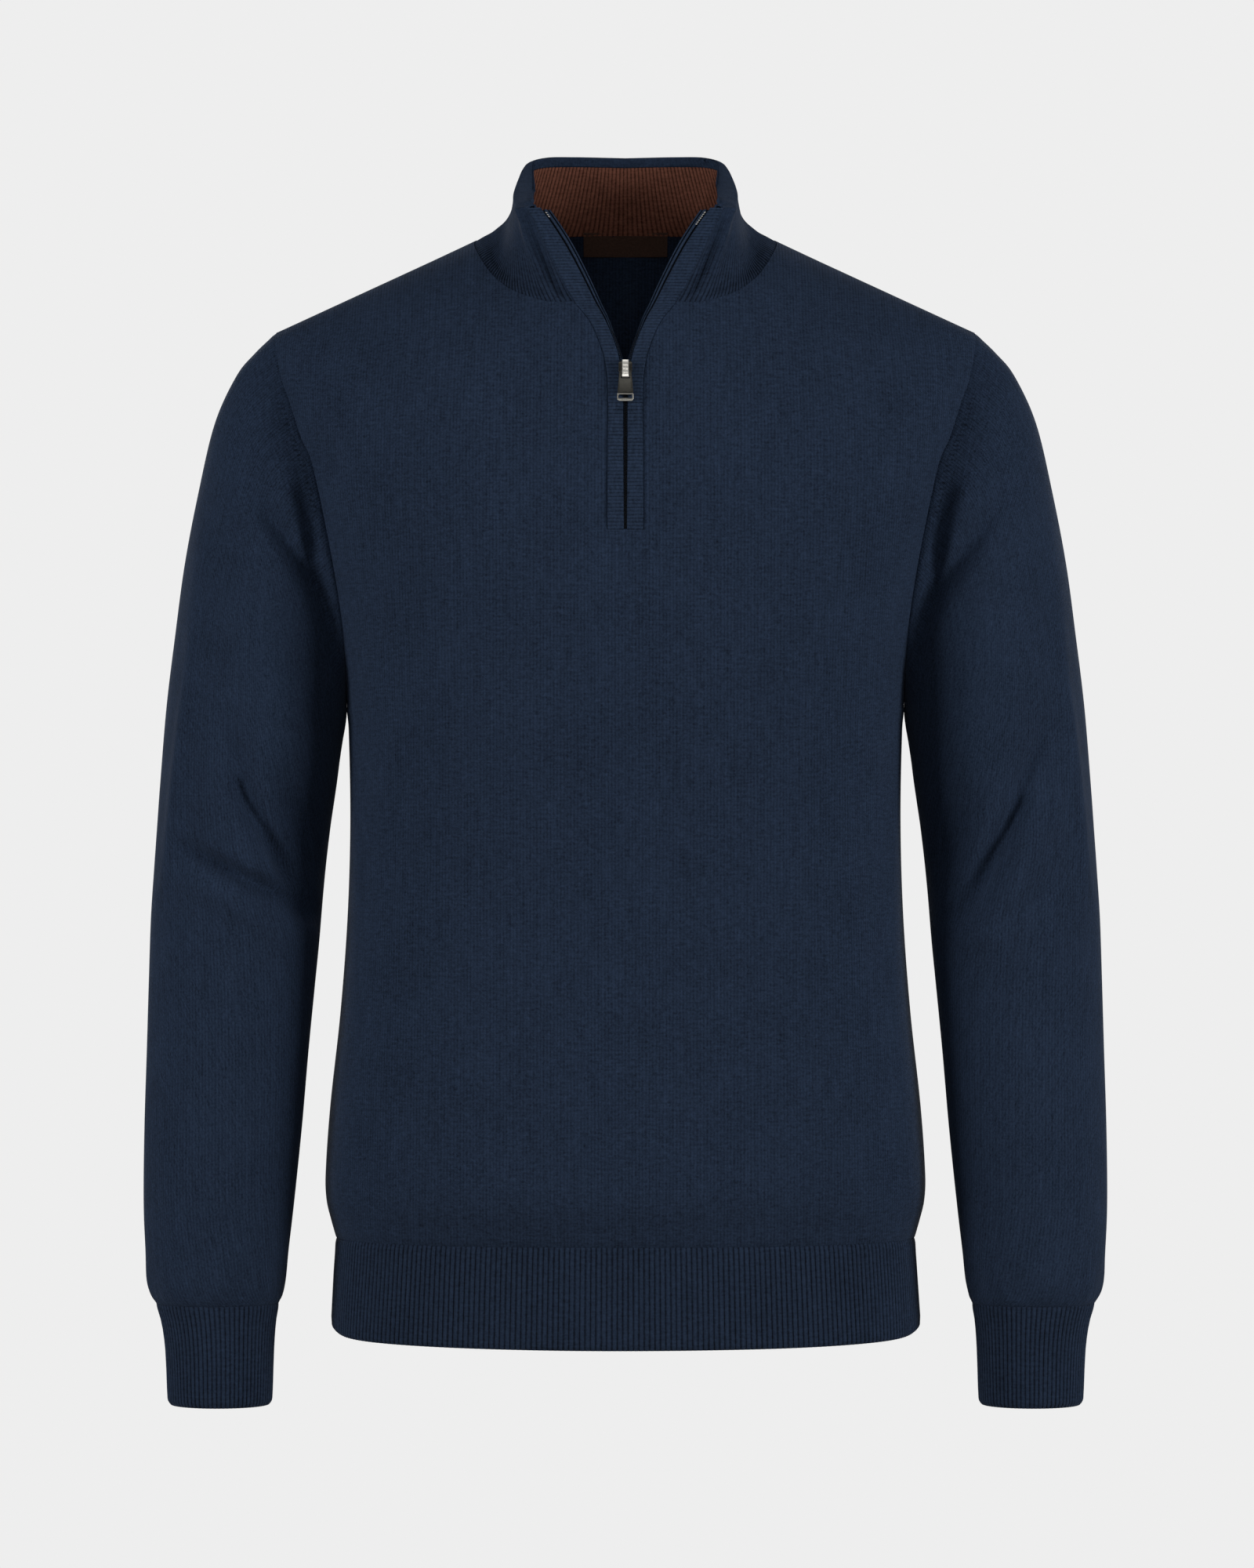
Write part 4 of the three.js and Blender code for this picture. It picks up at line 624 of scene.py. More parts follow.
def sleeveGrid(side, perFace=66):
    rows = (len(sleeve["outX"]) - 1) * sleeveForm["stepsPerRow"]
    u = np.linspace(0, len(sleeve["outX"]) - 1, rows + 1)[:, None]
    column = {k: alongRows(v, u) for k, v in sleeve.items()}
    n = np.arange(2 * perFace + 1)
    isFront = n <= perFace
    count = np.where(isFront, n, 2 * perFace - n)
    angle = (np.pi * count / perFace)[None, :]
    step = np.where(isFront, 1, -1)[None, :]
    share = (1 - np.cos(angle)) / 2
    x = mix(column["outX"], column["inX"], share)
    z = mix(column["outZ"], column["inZ"], share)
    y = column["y"] - column["half"] * np.sin(angle) * step
    seamFront, seamBack = armholeLine(-1, perFace), armholeLine(1, perFace)
    seamAt = np.where(isFront[:, None], seamFront[count], seamBack[count])
    first = stacked(mix(sleeve["outX"][0], sleeve["inX"][0], share[0]),
                      -sleeve["half"][0] * np.sin(angle[0]) * step[0],
                      mix(sleeve["outZ"][0], sleeve["inZ"][0], share[0]))
    fade = 0.62 ** u
    grid = stacked(x, y, z) + (seamAt - first)[None] * fade[..., None]
    middle = stacked((column["outX"] + column["inX"]) / 2, column["y"], (column["outZ"] + column["inZ"]) / 2)
    outward = grid - middle
    outward /= lengthOf(outward)
    turn = np.abs(np.sin(angle))
    depth = np.zeros(x.shape)
    for face in (-1, 1):
        part = turn * foldDepth("sleeve", side, face, side * grid[..., 0], grid[..., 2])
        depth += np.where(step == -face, part, 0)
    depth *= climb(u, 1.2)
    along = np.concatenate([np.zeros((1, grid.shape[1])),
                            np.cumsum(np.linalg.norm(np.diff(grid, axis=0), axis=-1), axis=0)])
    toCuff = along[-1:] - along
    turnShare = n[None, :] / (2 * perFace)
    wave = np.cos(2 * np.pi * sleeveForm["gathers"] * turnShare + 0.6 * side)
    wave = wave * (0.7 + 0.3 * np.cos(2 * np.pi * 3 * turnShare + 1.1))
    small = np.cos(2 * np.pi * sleeveForm["smallGathers"] * turnShare + 2.1 * np.sin(2 * np.pi * 5 * turnShare))
    nearCuff = hump(toCuff, 13, 13) * climb(toCuff, 6)
    veryNear = hump(toCuff, 4, 6) * climb(toCuff, 2)
    lift = (sleeveForm["gatherDepth"] * wave * nearCuff + sleeveForm["smallDepth"] * small * veryNear
            + seamDip(along, 0.4) + seamDip(toCuff, 0.45) - depth)
    grid = grid + outward * lift[..., None]
    around = np.concatenate([np.zeros((grid.shape[0], 1)),
                             np.cumsum(np.linalg.norm(np.diff(grid, axis=1), axis=-1), axis=1)], axis=1)
    centred = np.where(n[None, :] <= perFace, around, around - around[:, -1:])
    # the seam allowance, turned in under the body and under the cuff
    tuck = grid[0] - 0.9 * outward[0] - 0.8 * (grid[1] - grid[0])
    tail = grid[-1] - 0.9 * outward[-1] + 0.8 * (grid[-1] - grid[-2])
    grid = np.concatenate([tuck[None], grid, tail[None]])
    along = np.concatenate([along[:1] - 1.5, along, along[-1:] + 1.5])
    centred = np.concatenate([centred[:1], centred, centred[-1:]])
    middle = np.concatenate([middle[:1], middle, middle[-1:]])
    grid[..., 0] *= side
    middle[..., 0] *= side
    return grid, stacked(centred, -along), middle


def makeSleeve(name, side, node):
    grid, place, middle = sleeveGrid(side)
    half = grid.shape[1] // 2

    def inside(p):
        far = np.linalg.norm(p[:, None, :] - middle[None, ::6, 0, :], axis=-1)
        return middle[::6, 0, :][np.argmin(far, axis=1)]

    frontPart = (grid[:, :half + 1], place[:, :half + 1], inside)
    backPlace = place[:, half:].copy()
    backPlace[:, 0, 0] = backPlace[:, 1, 0] - (place[:, half, 0] - place[:, half - 1, 0])
    backPart = (grid[:, half:], backPlace, inside)
    obj = clothObject(name, [frontPart, backPart], sleeveKnit)
    return finishCloth(obj, sleeveForm["wall"], node)


sleeveRight = makeSleeve("right_sleeve", -1, "sleeve_right")
sleeveLeft = makeSleeve("left_sleeve", 1, "sleeve_left")
print("sleeves made:", len(sleeveLeft.data.polygons))

ribForm = {"wall": 1.5, "depth": 0.62, "hemRibs": 300, "cuffRibs": 74, "collarRibs": 148, "pointsPerRib": 6,
           "downRows": [0, 0.015, 0.03, *np.linspace(0.06, 0.94, 10), 0.96, 0.98, 1]}
hemForm = {"top": -617.3, "bottom": -679, "halfTop": 178.6, "halfBottom": 182.6, "frontTop": 112.8,
           "frontBottom": 114.4, "backTop": 107.8, "backBottom": 109, "spacedHalf": 179, "spacedDeep": 110,
           "tuck": -1.9}


def ribWave(turn, ribs):
    # rounded ribs with a narrow furrow between them, from 0 at the crest down to -1
    return np.abs(np.cos(np.pi * ribs * turn)) ** 0.7 - 1


def squared(value, power):
    return np.sign(value) * np.abs(value) ** power


def hemTurns(count):
    # equal steps round the hem's squarish section
    angle = np.linspace(0, 2 * np.pi, 7201)
    power = 2 / bodyForm["squareness"]
    x = hemForm["spacedHalf"] * squared(np.cos(angle), power)
    y = hemForm["spacedDeep"] * squared(np.sin(angle), power)
    run = runAlong(stacked(x, y))
    return np.interp(np.linspace(0, run[-1], count + 1), run, angle), run[-1]


def lowerEdge(t):
    # how a rib's free edge rounds in over its last 3 mm
    return -1.3 * fall(t, 3.0) ** 2


def makeHem():
    count = ribForm["hemRibs"] * ribForm["pointsPerRib"]
    angle, length = hemTurns(count)
    turn = np.linspace(0, 1, count + 1)
    t = np.array([-0.04, *ribForm["downRows"]])  # the first row is tucked in under the body
    z = mix(hemForm["top"], hemForm["bottom"], t)[:, None]
    half = mix(hemForm["halfTop"], hemForm["halfBottom"], np.clip(t, 0, 1) ** 0.8)[:, None]
    power = 2 / bodyForm["squareness"]
    c, s = np.cos(angle)[None, :], np.sin(angle)[None, :]
    out = np.where(s < 0, mix(hemForm["frontTop"], hemForm["frontBottom"], t)[:, None],
                   mix(hemForm["backTop"], hemForm["backBottom"], t)[:, None])
    x, y = half * squared(c, power), out * squared(s, power)
    nx, ny = squared(c, 2 - power) / half, squared(s, 2 - power) / out
    n = np.hypot(nx, ny)
    toTop = hemForm["top"] - z + 0 * x
    toEdge = z - hemForm["bottom"] + 0 * x
    widest = hemForm["halfBottom"]
    lift = (0.8 * (x / 100) ** 2 + 2.4 * np.abs(x / widest) ** 26) * t[:, None] ** 3
    depth = ribForm["depth"] * ribWave(turn, ribForm["hemRibs"])[None, :] * np.clip(toTop / 2, 0.25, 1)
    depth = depth + seamDip(toTop, 0.5) + lowerEdge(toEdge)
    depth = depth + 0.5 * np.sin(2 * np.pi * 7 * turn + 0.7)[None, :] * fall(toEdge, 40)
    depth = depth - 2.0 * np.abs(x / widest) ** 24 * fall(toEdge, 8) ** 2
    depth[0] = hemForm["tuck"]
    grid = stacked(x + depth * nx / n, y + depth * ny / n, z + lift)
    place = stacked((turn * length)[None, :], z)
    ribbing = knitCloth("hem_rib_knit", {**ribLook, "pitch": length / ribForm["hemRibs"]})
    obj = clothObject("hem_ribbing", [(grid, place, lambda p: p * [0, 0, 1])], ribbing)
    return finishCloth(obj, ribForm["wall"], "hem_rib")


cuffForm = {
    "top": -656.3, "bottom": -718.5, "round": 216, "middleX": 249.5, "middleY": -32, "ribShare": 0.9,
    "down": [0, 0.08, 0.18, 0.3, 0.45, 0.62, 0.8, 0.93, 1],
    "outX": [288.2, 286.6, 284.9, 283.5, 282.5, 281.9, 281.5, 281.2, 280.2],
    "inX": [212.6, 213.5, 214.4, 215.1, 215.6, 216, 216.3, 216.6, 217.4],
    "half": [36, 35.2, 34.4, 33.8, 33.3, 33, 32.8, 32.6, 32],
}
cuffRibbing = knitCloth("cuff_rib_knit", {**ribLook, "pitch": cuffForm["round"] / ribForm["cuffRibs"]})


def makeCuff(name, side, node):
    count = ribForm["cuffRibs"] * ribForm["pointsPerRib"]
    turn = np.linspace(0, 1, count + 1)
    angle = 2 * np.pi * turn[None, :]
    t = np.array(ribForm["downRows"])
    z = mix(cuffForm["top"], cuffForm["bottom"], t)[:, None]
    outX, inX, deep = (np.interp(t, cuffForm["down"], cuffForm[key])[:, None] for key in ("outX", "inX", "half"))
    toTop, toEdge = cuffForm["top"] - z, z - cuffForm["bottom"]
    wave = ribWave(turn, ribForm["cuffRibs"])[None, :]
    depth = ribForm["depth"] * cuffForm["ribShare"] * wave * np.clip(toTop / 2, 0.25, 1)
    depth = depth + seamDip(toTop, 0.4) + lowerEdge(toEdge)
    half = (outX - inX) / 2
    x = (outX + inX) / 2 + (half + depth) * np.cos(angle)
    y = cuffForm["middleY"] + (deep + depth) * np.sin(angle)
    grid = stacked(side * x, y, z)
    place = stacked(turn[None, :] * cuffForm["round"], z)
    middle = np.array([side * cuffForm["middleX"], cuffForm["middleY"], 0])
    obj = clothObject(name, [(grid, place, lambda p: p * [0, 0, 1] + middle)], cuffRibbing)
    return finishCloth(obj, ribForm["wall"], node)


hem = makeHem()
cuffRight = makeCuff("right_cuff", -1, "cuff_right")
cuffLeft = makeCuff("left_cuff", 1, "cuff_left")
print("hem and cuffs made:", len(hem.data.polygons))


def collarSurface(u, v):
    # u from the wearer's right front end round to the left one, v from the neck seam (0) to the fold (3)
    u, v = np.broadcast_arrays(np.asarray(u, float), np.asarray(v, float))
    side = np.where(u < 0.5, -1, 1)
    station = (1 - np.abs(2 * u - 1)) * (len(collar["x"]) - 1)
    at = {k: alongRows(c, station) for k, c in collar.items()}
    rise = alongRows(collarRise["rise"], v)
    into = mix(alongRows(collarRise["plainIn"], v), alongRows(collarRise["spreadIn"], v), at["spread"])
    return stacked(side * mix(at["x"], at["topX"], into), mix(at["y"], at["topY"], into),
                   mix(at["z"], at["topZ"], rise))


def collarTurns(turn):
    fine = np.linspace(0, 1, 2401)
    run = runAlong(collarSurface(fine, 1.6))
    return np.interp(np.clip(turn, 0, 1) * run[-1], run, fine), run[-1]


def collarPoints(turn, v, depth, lift):
    u, _ = collarTurns(turn)
    u, v = np.broadcast_arrays(u[None, :], v[:, None])
    e = 0.006
    along = collarSurface(np.minimum(1, u + e), v) - collarSurface(np.maximum(0, u - e), v)
    up = collarSurface(u, np.minimum(3, v + 0.4)) - collarSurface(u, np.maximum(0, v - 0.4))
    normal = np.cross(up, along)
    normal /= lengthOf(normal)
    up /= lengthOf(up)
    return collarSurface(u, v) + normal * depth[..., None] + up * lift[..., None]


collarForm = {"fold": 3.1, "lip": 2.83, "wall": 1.2, "innerWall": 1.0,
              "rollHalf": [3.2, 5.0, 6.0, 6.2, 5.9, 5.0, 3.6, 2.1, 1.55, 1.55, 1.55, 1.55]}


def rollReach(turn):
    # half the width of the soft roll: slim at the back, broad at the sides
    u, _ = collarTurns(turn)
    station = (1 - np.abs(2 * u - 1)) * (len(collar["x"]) - 1)
    return alongRows(collarForm["rollHalf"], station)


def zipPull(fromEnd):
    # beside the zip the stiff band pulls a trough and a soft ridge into the collar
    return (-3.6 * hump(fromEnd, 5, 4.0) + 1.2 * hump(fromEnd, 14, 4.6)
            - 0.5 * hump(fromEnd, 23, 8))


def makeCollarOuter():
    count = ribForm["collarRibs"] * ribForm["pointsPerRib"]
    turn = np.linspace(0, 1, count + 1)
    _, length = collarTurns(turn)
    radius = collarForm["fold"] / 2
    vUp = np.concatenate([np.linspace(0, 0.4, 5), np.linspace(0.52, 2.94, 22)])
    roll = np.linspace(0, np.pi, 9)
    vDown = np.linspace(2.97, collarForm["lip"], 6)
    v = np.concatenate([vUp, np.full(9, 2.965), vDown])
    broad = rollReach(turn)[None, :]
    thin = np.concatenate([0 * vUp, -1 + np.cos(roll), np.interp(vDown, [1.6, 2.97], [-1.2, -2])])[:, None] * broad
    lift = np.concatenate([0 * vUp + 0.3, radius * np.sin(roll), np.full(6, 0.0)])
    # ribs are pressed flat towards the fold and open wide at the neck seam
    ribShare = np.concatenate([np.interp(vUp, [0, 0.6, 1.1, 1.7, 3], [0.7, 0.85, 0.55, 0.22, 0.15]), np.full(9, 0.22),
                               np.full(6, 0.3)])
    wave = ribWave(turn, ribForm["collarRibs"])
    fromEnd = np.minimum(turn, 1 - turn) * length
    pull = zipPull(fromEnd)
    pullShare = np.interp(v, [0, 0.8, 2.2, 3], [0, 0.8, 1, 0.75])
    pullShare[len(vUp) + 9:] = 0.4
    sag = 0.5 * np.sin(2 * np.pi * 3 * turn + 0.4) * np.sin(np.pi * 2 * turn)
    depth = thin + ribForm["depth"] * ribShare[:, None] * wave[None, :]
    pullShare[len(vUp) + 4:] *= 0.8
    depth = depth + pullShare[:, None] * (pull + sag)[None, :]
    depth[:len(vUp)] += seamDip(np.interp(vUp, [0, 1], [0, 8]), 0.5)[:, None]
    # a fine crease under the fold in front, and the foot standing out on the shoulders
    crease = -0.7 * hump(vUp, 2.72, 0.1)[:, None] * fall(fromEnd, 46)[None, :] ** 0.5
    atSide = hump(np.abs(2 * turn - 1), 0.44, 0.17)
    depth[:len(vUp)] += crease + 1.1 * hump(vUp, 1.0, 0.6)[:, None] * atSide[None, :]
    grid = collarPoints(turn, v, depth, lift[:, None] + 0 * depth)
    rowRun = runAlong(grid[:, count // 2])
    place = stacked(turn[None, :] * length, rowRun[:, None])
    outerPart = slice(0, len(vUp) + 5)
    innerPart = slice(len(vUp) + 4, len(v))
    obj = clothObject("collar_shell", [
        (grid[outerPart], place[outerPart], lambda p: p * [0, 0, 1] - [0, 0, 40]),
        (grid[innerPart], place[innerPart], lambda p: 2 * p),
    ], knitCloth("collar_rib_knit", {**ribLook, "pitch": length / ribForm["collarRibs"],
                                      "crest": 0.05, "furrowShade": 0.5, "fadeFrom": 16, "fadeTo": 34, "fadeEnd": 0.12}))
    return finishCloth(obj, collarForm["wall"], "collar_outer")


def makeCollarInner():
    count = ribForm["collarRibs"] * ribForm["pointsPerRib"]
    turn = np.linspace(0, 1, count + 1)
    _, length = collarTurns(turn)
    v = np.linspace(0.02, collarForm["lip"] - 0.02, 20)
    wave = -ribWave(turn, ribForm["collarRibs"])
    spread = np.interp(v, [0, 1.2, 2.8], [0, 0.25, 1])[:, None]
    depth = -mix(collarForm["fold"], 2 * rollReach(turn)[None, :], spread) + 0.55 * wave[None, :] + 0.25
    share = np.interp(v, [0, 0.8, 2.2, 2.8], [0, 0.8, 0.9, 0.4])[:, None]
    depth = depth + share * np.minimum(zipPull(np.minimum(turn, 1 - turn) * length), 0)[None, :]
    grid = collarPoints(turn, v, depth, 0 * depth)
    rowRun = runAlong(grid[:, count // 2])
    place = stacked(turn[None, :] * length, rowRun[:, None])
    obj = clothObject("collar_facing", [(grid, place, lambda p: p * [2, 2, 1])],
                      knitCloth("brown_rib_knit", {**brownLook, "pitch": length / ribForm["collarRibs"]}))
    return finishCloth(obj, collarForm["innerWall"], "collar_inner")


collarOuter = makeCollarOuter()
collarInner = makeCollarInner()
print("collar made:", len(collarOuter.data.polygons), len(collarInner.data.polygons))


def riseToV(rise):
    fine = np.linspace(0, 3, 601)
    return np.interp(rise, alongRows(collarRise["rise"], fine), fine)


def bandSurface(side, v, across):
    # v up the band, across 0 at the sewn edge and 1 at the zip
    v, across = np.broadcast_arrays(np.asarray(v, float), np.asarray(across, float))
    u = v * (len(zipBand["z"]) - 1)
    z = alongRows(zipBand["z"], u)
    neck, top = collar["z"][0], collar["topZ"][0]
    risen = climb(z - neck, top - neck)
    end = np.abs(collarSurface(0 * risen, riseToV(risen))[..., 0])
    sewn = mix(alongRows(zipBand["sewnX"], u), end - 0.3, climb(z - neck + 4, 4))
    x = mix(sewn, alongRows(zipBand["zipX"], np.maximum(u, 0)), across)
    standing = mix(collar["y"][0], collar["topY"][0], risen) - 0.16 * (end - x) * risen
    atNeck = collar["y"][0] - torsoY(collar["x"][0], neck, -1)
    lying = torsoY(x, z, -1) + atNeck * fall(neck - z, 45)
    blend = climb(z - neck + 8, 16)
    return stacked(side * x, mix(lying, standing, blend * blend * (3 - 2 * blend)), z)


def bandPoints(side, v, across, depth, slide):
    v, across, depth, slide = np.broadcast_arrays(v, across, depth, slide)
    e = 0.01
    up = bandSurface(side, np.minimum(1, v + e), across) - bandSurface(side, np.maximum(0, v - e), across)
    over = bandSurface(side, v, across + 0.1) - bandSurface(side, v, across - 0.1)
    normal = np.cross(up, over)
    normal /= lengthOf(normal)
    normal *= np.where(normal[..., 1:2] > 0, -1, 1)
    over /= lengthOf(over)
    return bandSurface(side, v, across) + normal * depth[..., None] + over * slide[..., None]


def evenUpBand(steps, low, high):
    fine = np.linspace(low, high, 1200)
    run = runAlong(bandSurface(1, fine, 0.5))
    return np.interp(np.linspace(0, run[-1], steps + 1), run, fine), np.linspace(0, run[-1], steps + 1)


bandForm = {"ribPitch": 2.2, "ribDepth": 0.3, "wall": 1.5, "lift": 0.45}
bandRibbing = knitCloth("band_rib_knit", {**ribLook, "dye": (0.0142, 0.0238, 0.0450),
                                          "pitch": bandForm["ribPitch"], "furrowShade": 0.4})


def makeBand(name, side, node):
    v, run = evenUpBand(700, -0.004, 1)
    across = np.concatenate([[0.0, 0.02, 0.06], np.linspace(0.12, 0.88, 9), [0.94, 0.98, 1.0]])
    profile = bandForm["lift"] + 0.35 * np.sin(np.pi * across) ** 0.6 - 0.75 * fall(across, 0.07) ** 2
    profile = profile - 0.5 * fall(1 - across, 0.07) ** 2
    ribs = bandForm["ribDepth"] * (np.abs(np.cos(np.pi * run / bandForm["ribPitch"])) ** 0.8 - 1)
    inner = np.clip(np.minimum(across, 1 - across) / 0.1, 0.3, 1)
    top = -1.5 * fall(run[-1] - run, 1.6) ** 2 - 0.6 * hump(run[-1] - run, 2.9, 0.6)
    foot = -0.35 * fall(run, 1.6) ** 2
    depth = profile[None, :] + ribs[:, None] * inner[None, :] + (top + foot)[:, None]
    depth = depth - (bandForm["lift"] - 0.05) * fall(run, 7)[:, None] ** 1.5
    grid = bandPoints(side, v[:, None], across[None, :], depth, 0 * depth)
    width = np.linalg.norm(grid[:, -1] - grid[:, 0], axis=-1)
    place = stacked(run[:, None], side * across[None, :] * width[:, None])
    obj = clothObject(name, [(grid, place, lambda p: p + [0, 60, 0])], bandRibbing)
    return finishCloth(obj, bandForm["wall"], node)


tapeForm = {"low": -0.02, "high": 0.99, "base": -2.0, "meet": 0.86, "cord": 1.9, "lip": 1.35, "wall": 0.9,
            "clothWide": 5, "hidden": [0.25, 0.4225, 0.595, 0.7675, 0.94],
            "footHidden": [-0.14, 0.02, 0.3, 0.62, 0.94],
            "footDeep": [-2.9, -2.9, -2.1, -2, -2], "footEnds": 0.06}


def tapeReach(v):
    zipX = alongRows(zipBand["zipX"], v * (len(zipBand["z"]) - 1))
    return np.interp(zipX, [0.9, 1.5, 3, 5, 8.6, 15.4, 24, 32, 40, 52],
                     [0.65, 1.25, 2.2, 1.8, 1.9, 3.2, 4.0, 4.5, 4.9, 5.0])


def makeTape(name, side, node):
    v, run = evenUpBand(150, tapeForm["low"], tapeForm["high"])
    reach = mix(tapeReach(v), tapeForm["meet"], fall(v, 0.005))
    base = tapeForm["base"]
    share = np.linspace(0, 1, 33)
    cord = np.clip(np.sin(np.pi * climb(share - 0.2, 0.47)), 0, 1) ** 0.6
    lip = np.clip(np.sin(np.pi * climb(share - 0.78, 0.3)), 0, 1) ** 0.6
    tall = climb(reach - 1.3, 2.2)[:, None]
    depth = base + tall * (tapeForm["cord"] * cord + tapeForm["lip"] * lip)[None, :]
    top = -1.2 * fall(run[-1] - run, 1.8) ** 2
    depth = depth + top[:, None]
    past = bandPoints(side, v[:, None], 1.0 + 0 * depth, depth, share[None, :] * reach[:, None])
    # at its foot the tape reaches out behind the panel's corners
    low = fall(v, tapeForm["footEnds"])[:, None]
    hidden = mix(np.array(tapeForm["hidden"]), np.array(tapeForm["footHidden"]), low)
    deep = mix(base, np.array(tapeForm["footDeep"]), low)
    under = bandPoints(side, v[:, None], hidden, deep, 0.0)
    grid = np.concatenate([under, past], axis=1)
    across = np.r_[np.linspace(-7, -0.6, 5), share * tapeForm["clothWide"]]
    place = stacked(across[None, :], run[:, None])
    obj = clothObject(name, [(grid, place, lambda p: p + [0, 60, 0])], zipTapeCloth)
    return finishCloth(obj, tapeForm["wall"], node)


bandRight = makeBand("right_zip_band", -1, "placket_band_right")
bandLeft = makeBand("left_zip_band", 1, "placket_band_left")
tapeRight = makeTape("right_zip_tape", -1, "zip_tape_right")
tapeLeft = makeTape("left_zip_tape", 1, "zip_tape_left")
print("bands and tapes made:", len(bandLeft.data.polygons))

labelForm = {"half": 26.3, "top": 7.4, "bottom": -6.4, "wall": 0.5}


def labelY(x, z):
    # the panel's inner face, a little lower where the collar seam lies on it
    return torsoY(x, z, 1) + backRise(z) * (1 - np.abs(x) / 216) ** 2 - bodyForm["wall"] * 1.2 - 0.7


def makeLabel():
    x = np.linspace(-labelForm["half"], labelForm["half"], 61)[None, :]
    z = np.linspace(labelForm["top"], labelForm["bottom"], 17)[:, None]
    fx, fz = x + 0 * z, z + 0 * x
    edge = np.minimum(labelForm["half"] - np.abs(fx), np.minimum(labelForm["top"] - fz, fz - labelForm["bottom"]))
    pillow = 0.45 * (1 - np.exp(-edge / 1.6)) + 0.12 * np.sin(fx / 5.1) * np.sin(fz / 3.1)
    y = labelY(fx, fz) - pillow
    grid = stacked(fx, y, fz)
    obj = clothObject("bare_label", [(grid, stacked(fx, fz), lambda p: p + [0, 50, 0])], labelCloth)
    return finishCloth(obj, labelForm["wall"], "neck_label")


label = makeLabel()
print("label made")


# Hard pieces of the zip, modelled flat and then laid on the chest.
zipForm = {"sliderZ": -89, "lift": 1, "thick": 2.1, "hingeOut": 3.75, "hingeUp": -2, "lean": 0.1,
           "tabThick": 1.1, "bridgeWide": 3.8}
seatLow, seatHigh = (float(torsoY(0, zipForm["sliderZ"] + k, -1)) for k in (-6, 6))
seatTilt = -math.atan2(seatHigh - seatLow, 12)
seat = (Matrix.Translation((0, ((seatLow + seatHigh) / 2 - zipForm["lift"]) * mm, zipForm["sliderZ"] * mm))
        @ Matrix.Rotation(seatTilt, 4, "X"))
hinge = Matrix.Translation((0, -zipForm["hingeOut"] * mm, zipForm["hingeUp"] * mm))
leaned = seat @ hinge @ Matrix.Rotation(zipForm["lean"], 4, "X") @ hinge.inverted()


def editAll():
    bpy.ops.object.mode_set(mode="EDIT")
    bpy.ops.mesh.select_all(action="SELECT")


def leaveEdit():
    bpy.ops.object.mode_set(mode="OBJECT")


def widen(x, y, z, about=(0, 0, 0)):
    bpy.ops.transform.resize(value=(x, y, z), center_override=about)


def inset(thickness, depth):
    bpy.ops.mesh.inset(thickness=thickness * mm, depth=depth * mm)


def selectWhere(obj, test, mode="VERT"):
    # selects by place and stays in edit mode
    leaveEdit()
    mesh = obj.data
    for part in (mesh.vertices, mesh.edges, mesh.polygons):
        part.foreach_set("select", [False] * len(part))
    if mode == "FACE":
        for face in mesh.polygons:
            face.select = test(face.center / mm, face.normal)
    else:
        for vertex in mesh.vertices:
            vertex.select = test(vertex.co / mm)
    bpy.context.tool_settings.mesh_select_mode = (mode == "VERT", False, mode == "FACE")
    bpy.ops.object.mode_set(mode="EDIT")


def startBlock(name, size, middle):
    bpy.ops.object.select_all(action="DESELECT")
    bpy.ops.mesh.primitive_cube_add(size=mm, location=(0, 0, 0))
    obj = bpy.context.object
    obj.name = name
    obj.data.name = name
    editAll()
    widen(*size)
    bpy.ops.transform.translate(value=[c * mm for c in middle])
    leaveEdit()
    return obj


def cutAt(axis, places):
    # straight cuts across the whole block that is being worked on
    for place in places:
        editAll()
        spot, way = [0, 0, 0], [0, 0, 0]
        spot[axis], way[axis] = place * mm, 1
        bpy.ops.mesh.bisect(plane_co=spot, plane_no=way)
    leaveEdit()


def punch(obj, test):
    # opens a window straight through a plate: the cells at both faces go and the rims are bridged
    selectWhere(obj, lambda c, n: abs(n.y) > 0.9 and test(c), "FACE")
    bpy.ops.mesh.delete(type="FACE")
    bpy.ops.mesh.select_mode(type="EDGE")
    bpy.ops.mesh.select_all(action="DESELECT")
    bpy.ops.mesh.select_non_manifold(extend=False)
    bpy.ops.mesh.bridge_edge_loops()
    leaveEdit()


def finishHard(obj, bevel, material, matrix, body, node):
    useOnly(obj)
    soft = obj.modifiers.new("edges", "BEVEL")
    soft.width = bevel * mm
    soft.segments = 3
    soft.limit_method = "ANGLE"
    soft.angle_limit = math.radians(25)
    bpy.ops.object.modifier_apply(modifier=soft.name)
    editAll()
    bpy.ops.mesh.remove_doubles(threshold=1e-6)
    bpy.ops.mesh.normals_make_consistent(inside=False)
    leaveEdit()
    obj.data.transform(matrix)
    bpy.ops.object.shade_smooth_by_angle(angle=math.radians(35))
    obj.data.materials.append(material)
    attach(obj, body)
    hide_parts(node)
    return obj


def taper(obj, zLow, zHigh, scaleLow, scaleHigh):
    # widens or narrows the rows of points between two heights
    rows = sorted({round(v.co.z / mm, 3) for v in obj.data.vertices})
    for row in rows:
        t = min(1, max(0, (row - zLow) / (zHigh - zLow)))
        selectWhere(obj, lambda c: abs(c.z - row) < 0.01)
        widen(mix(scaleLow, scaleHigh, t), 1, 1)
    leaveEdit()


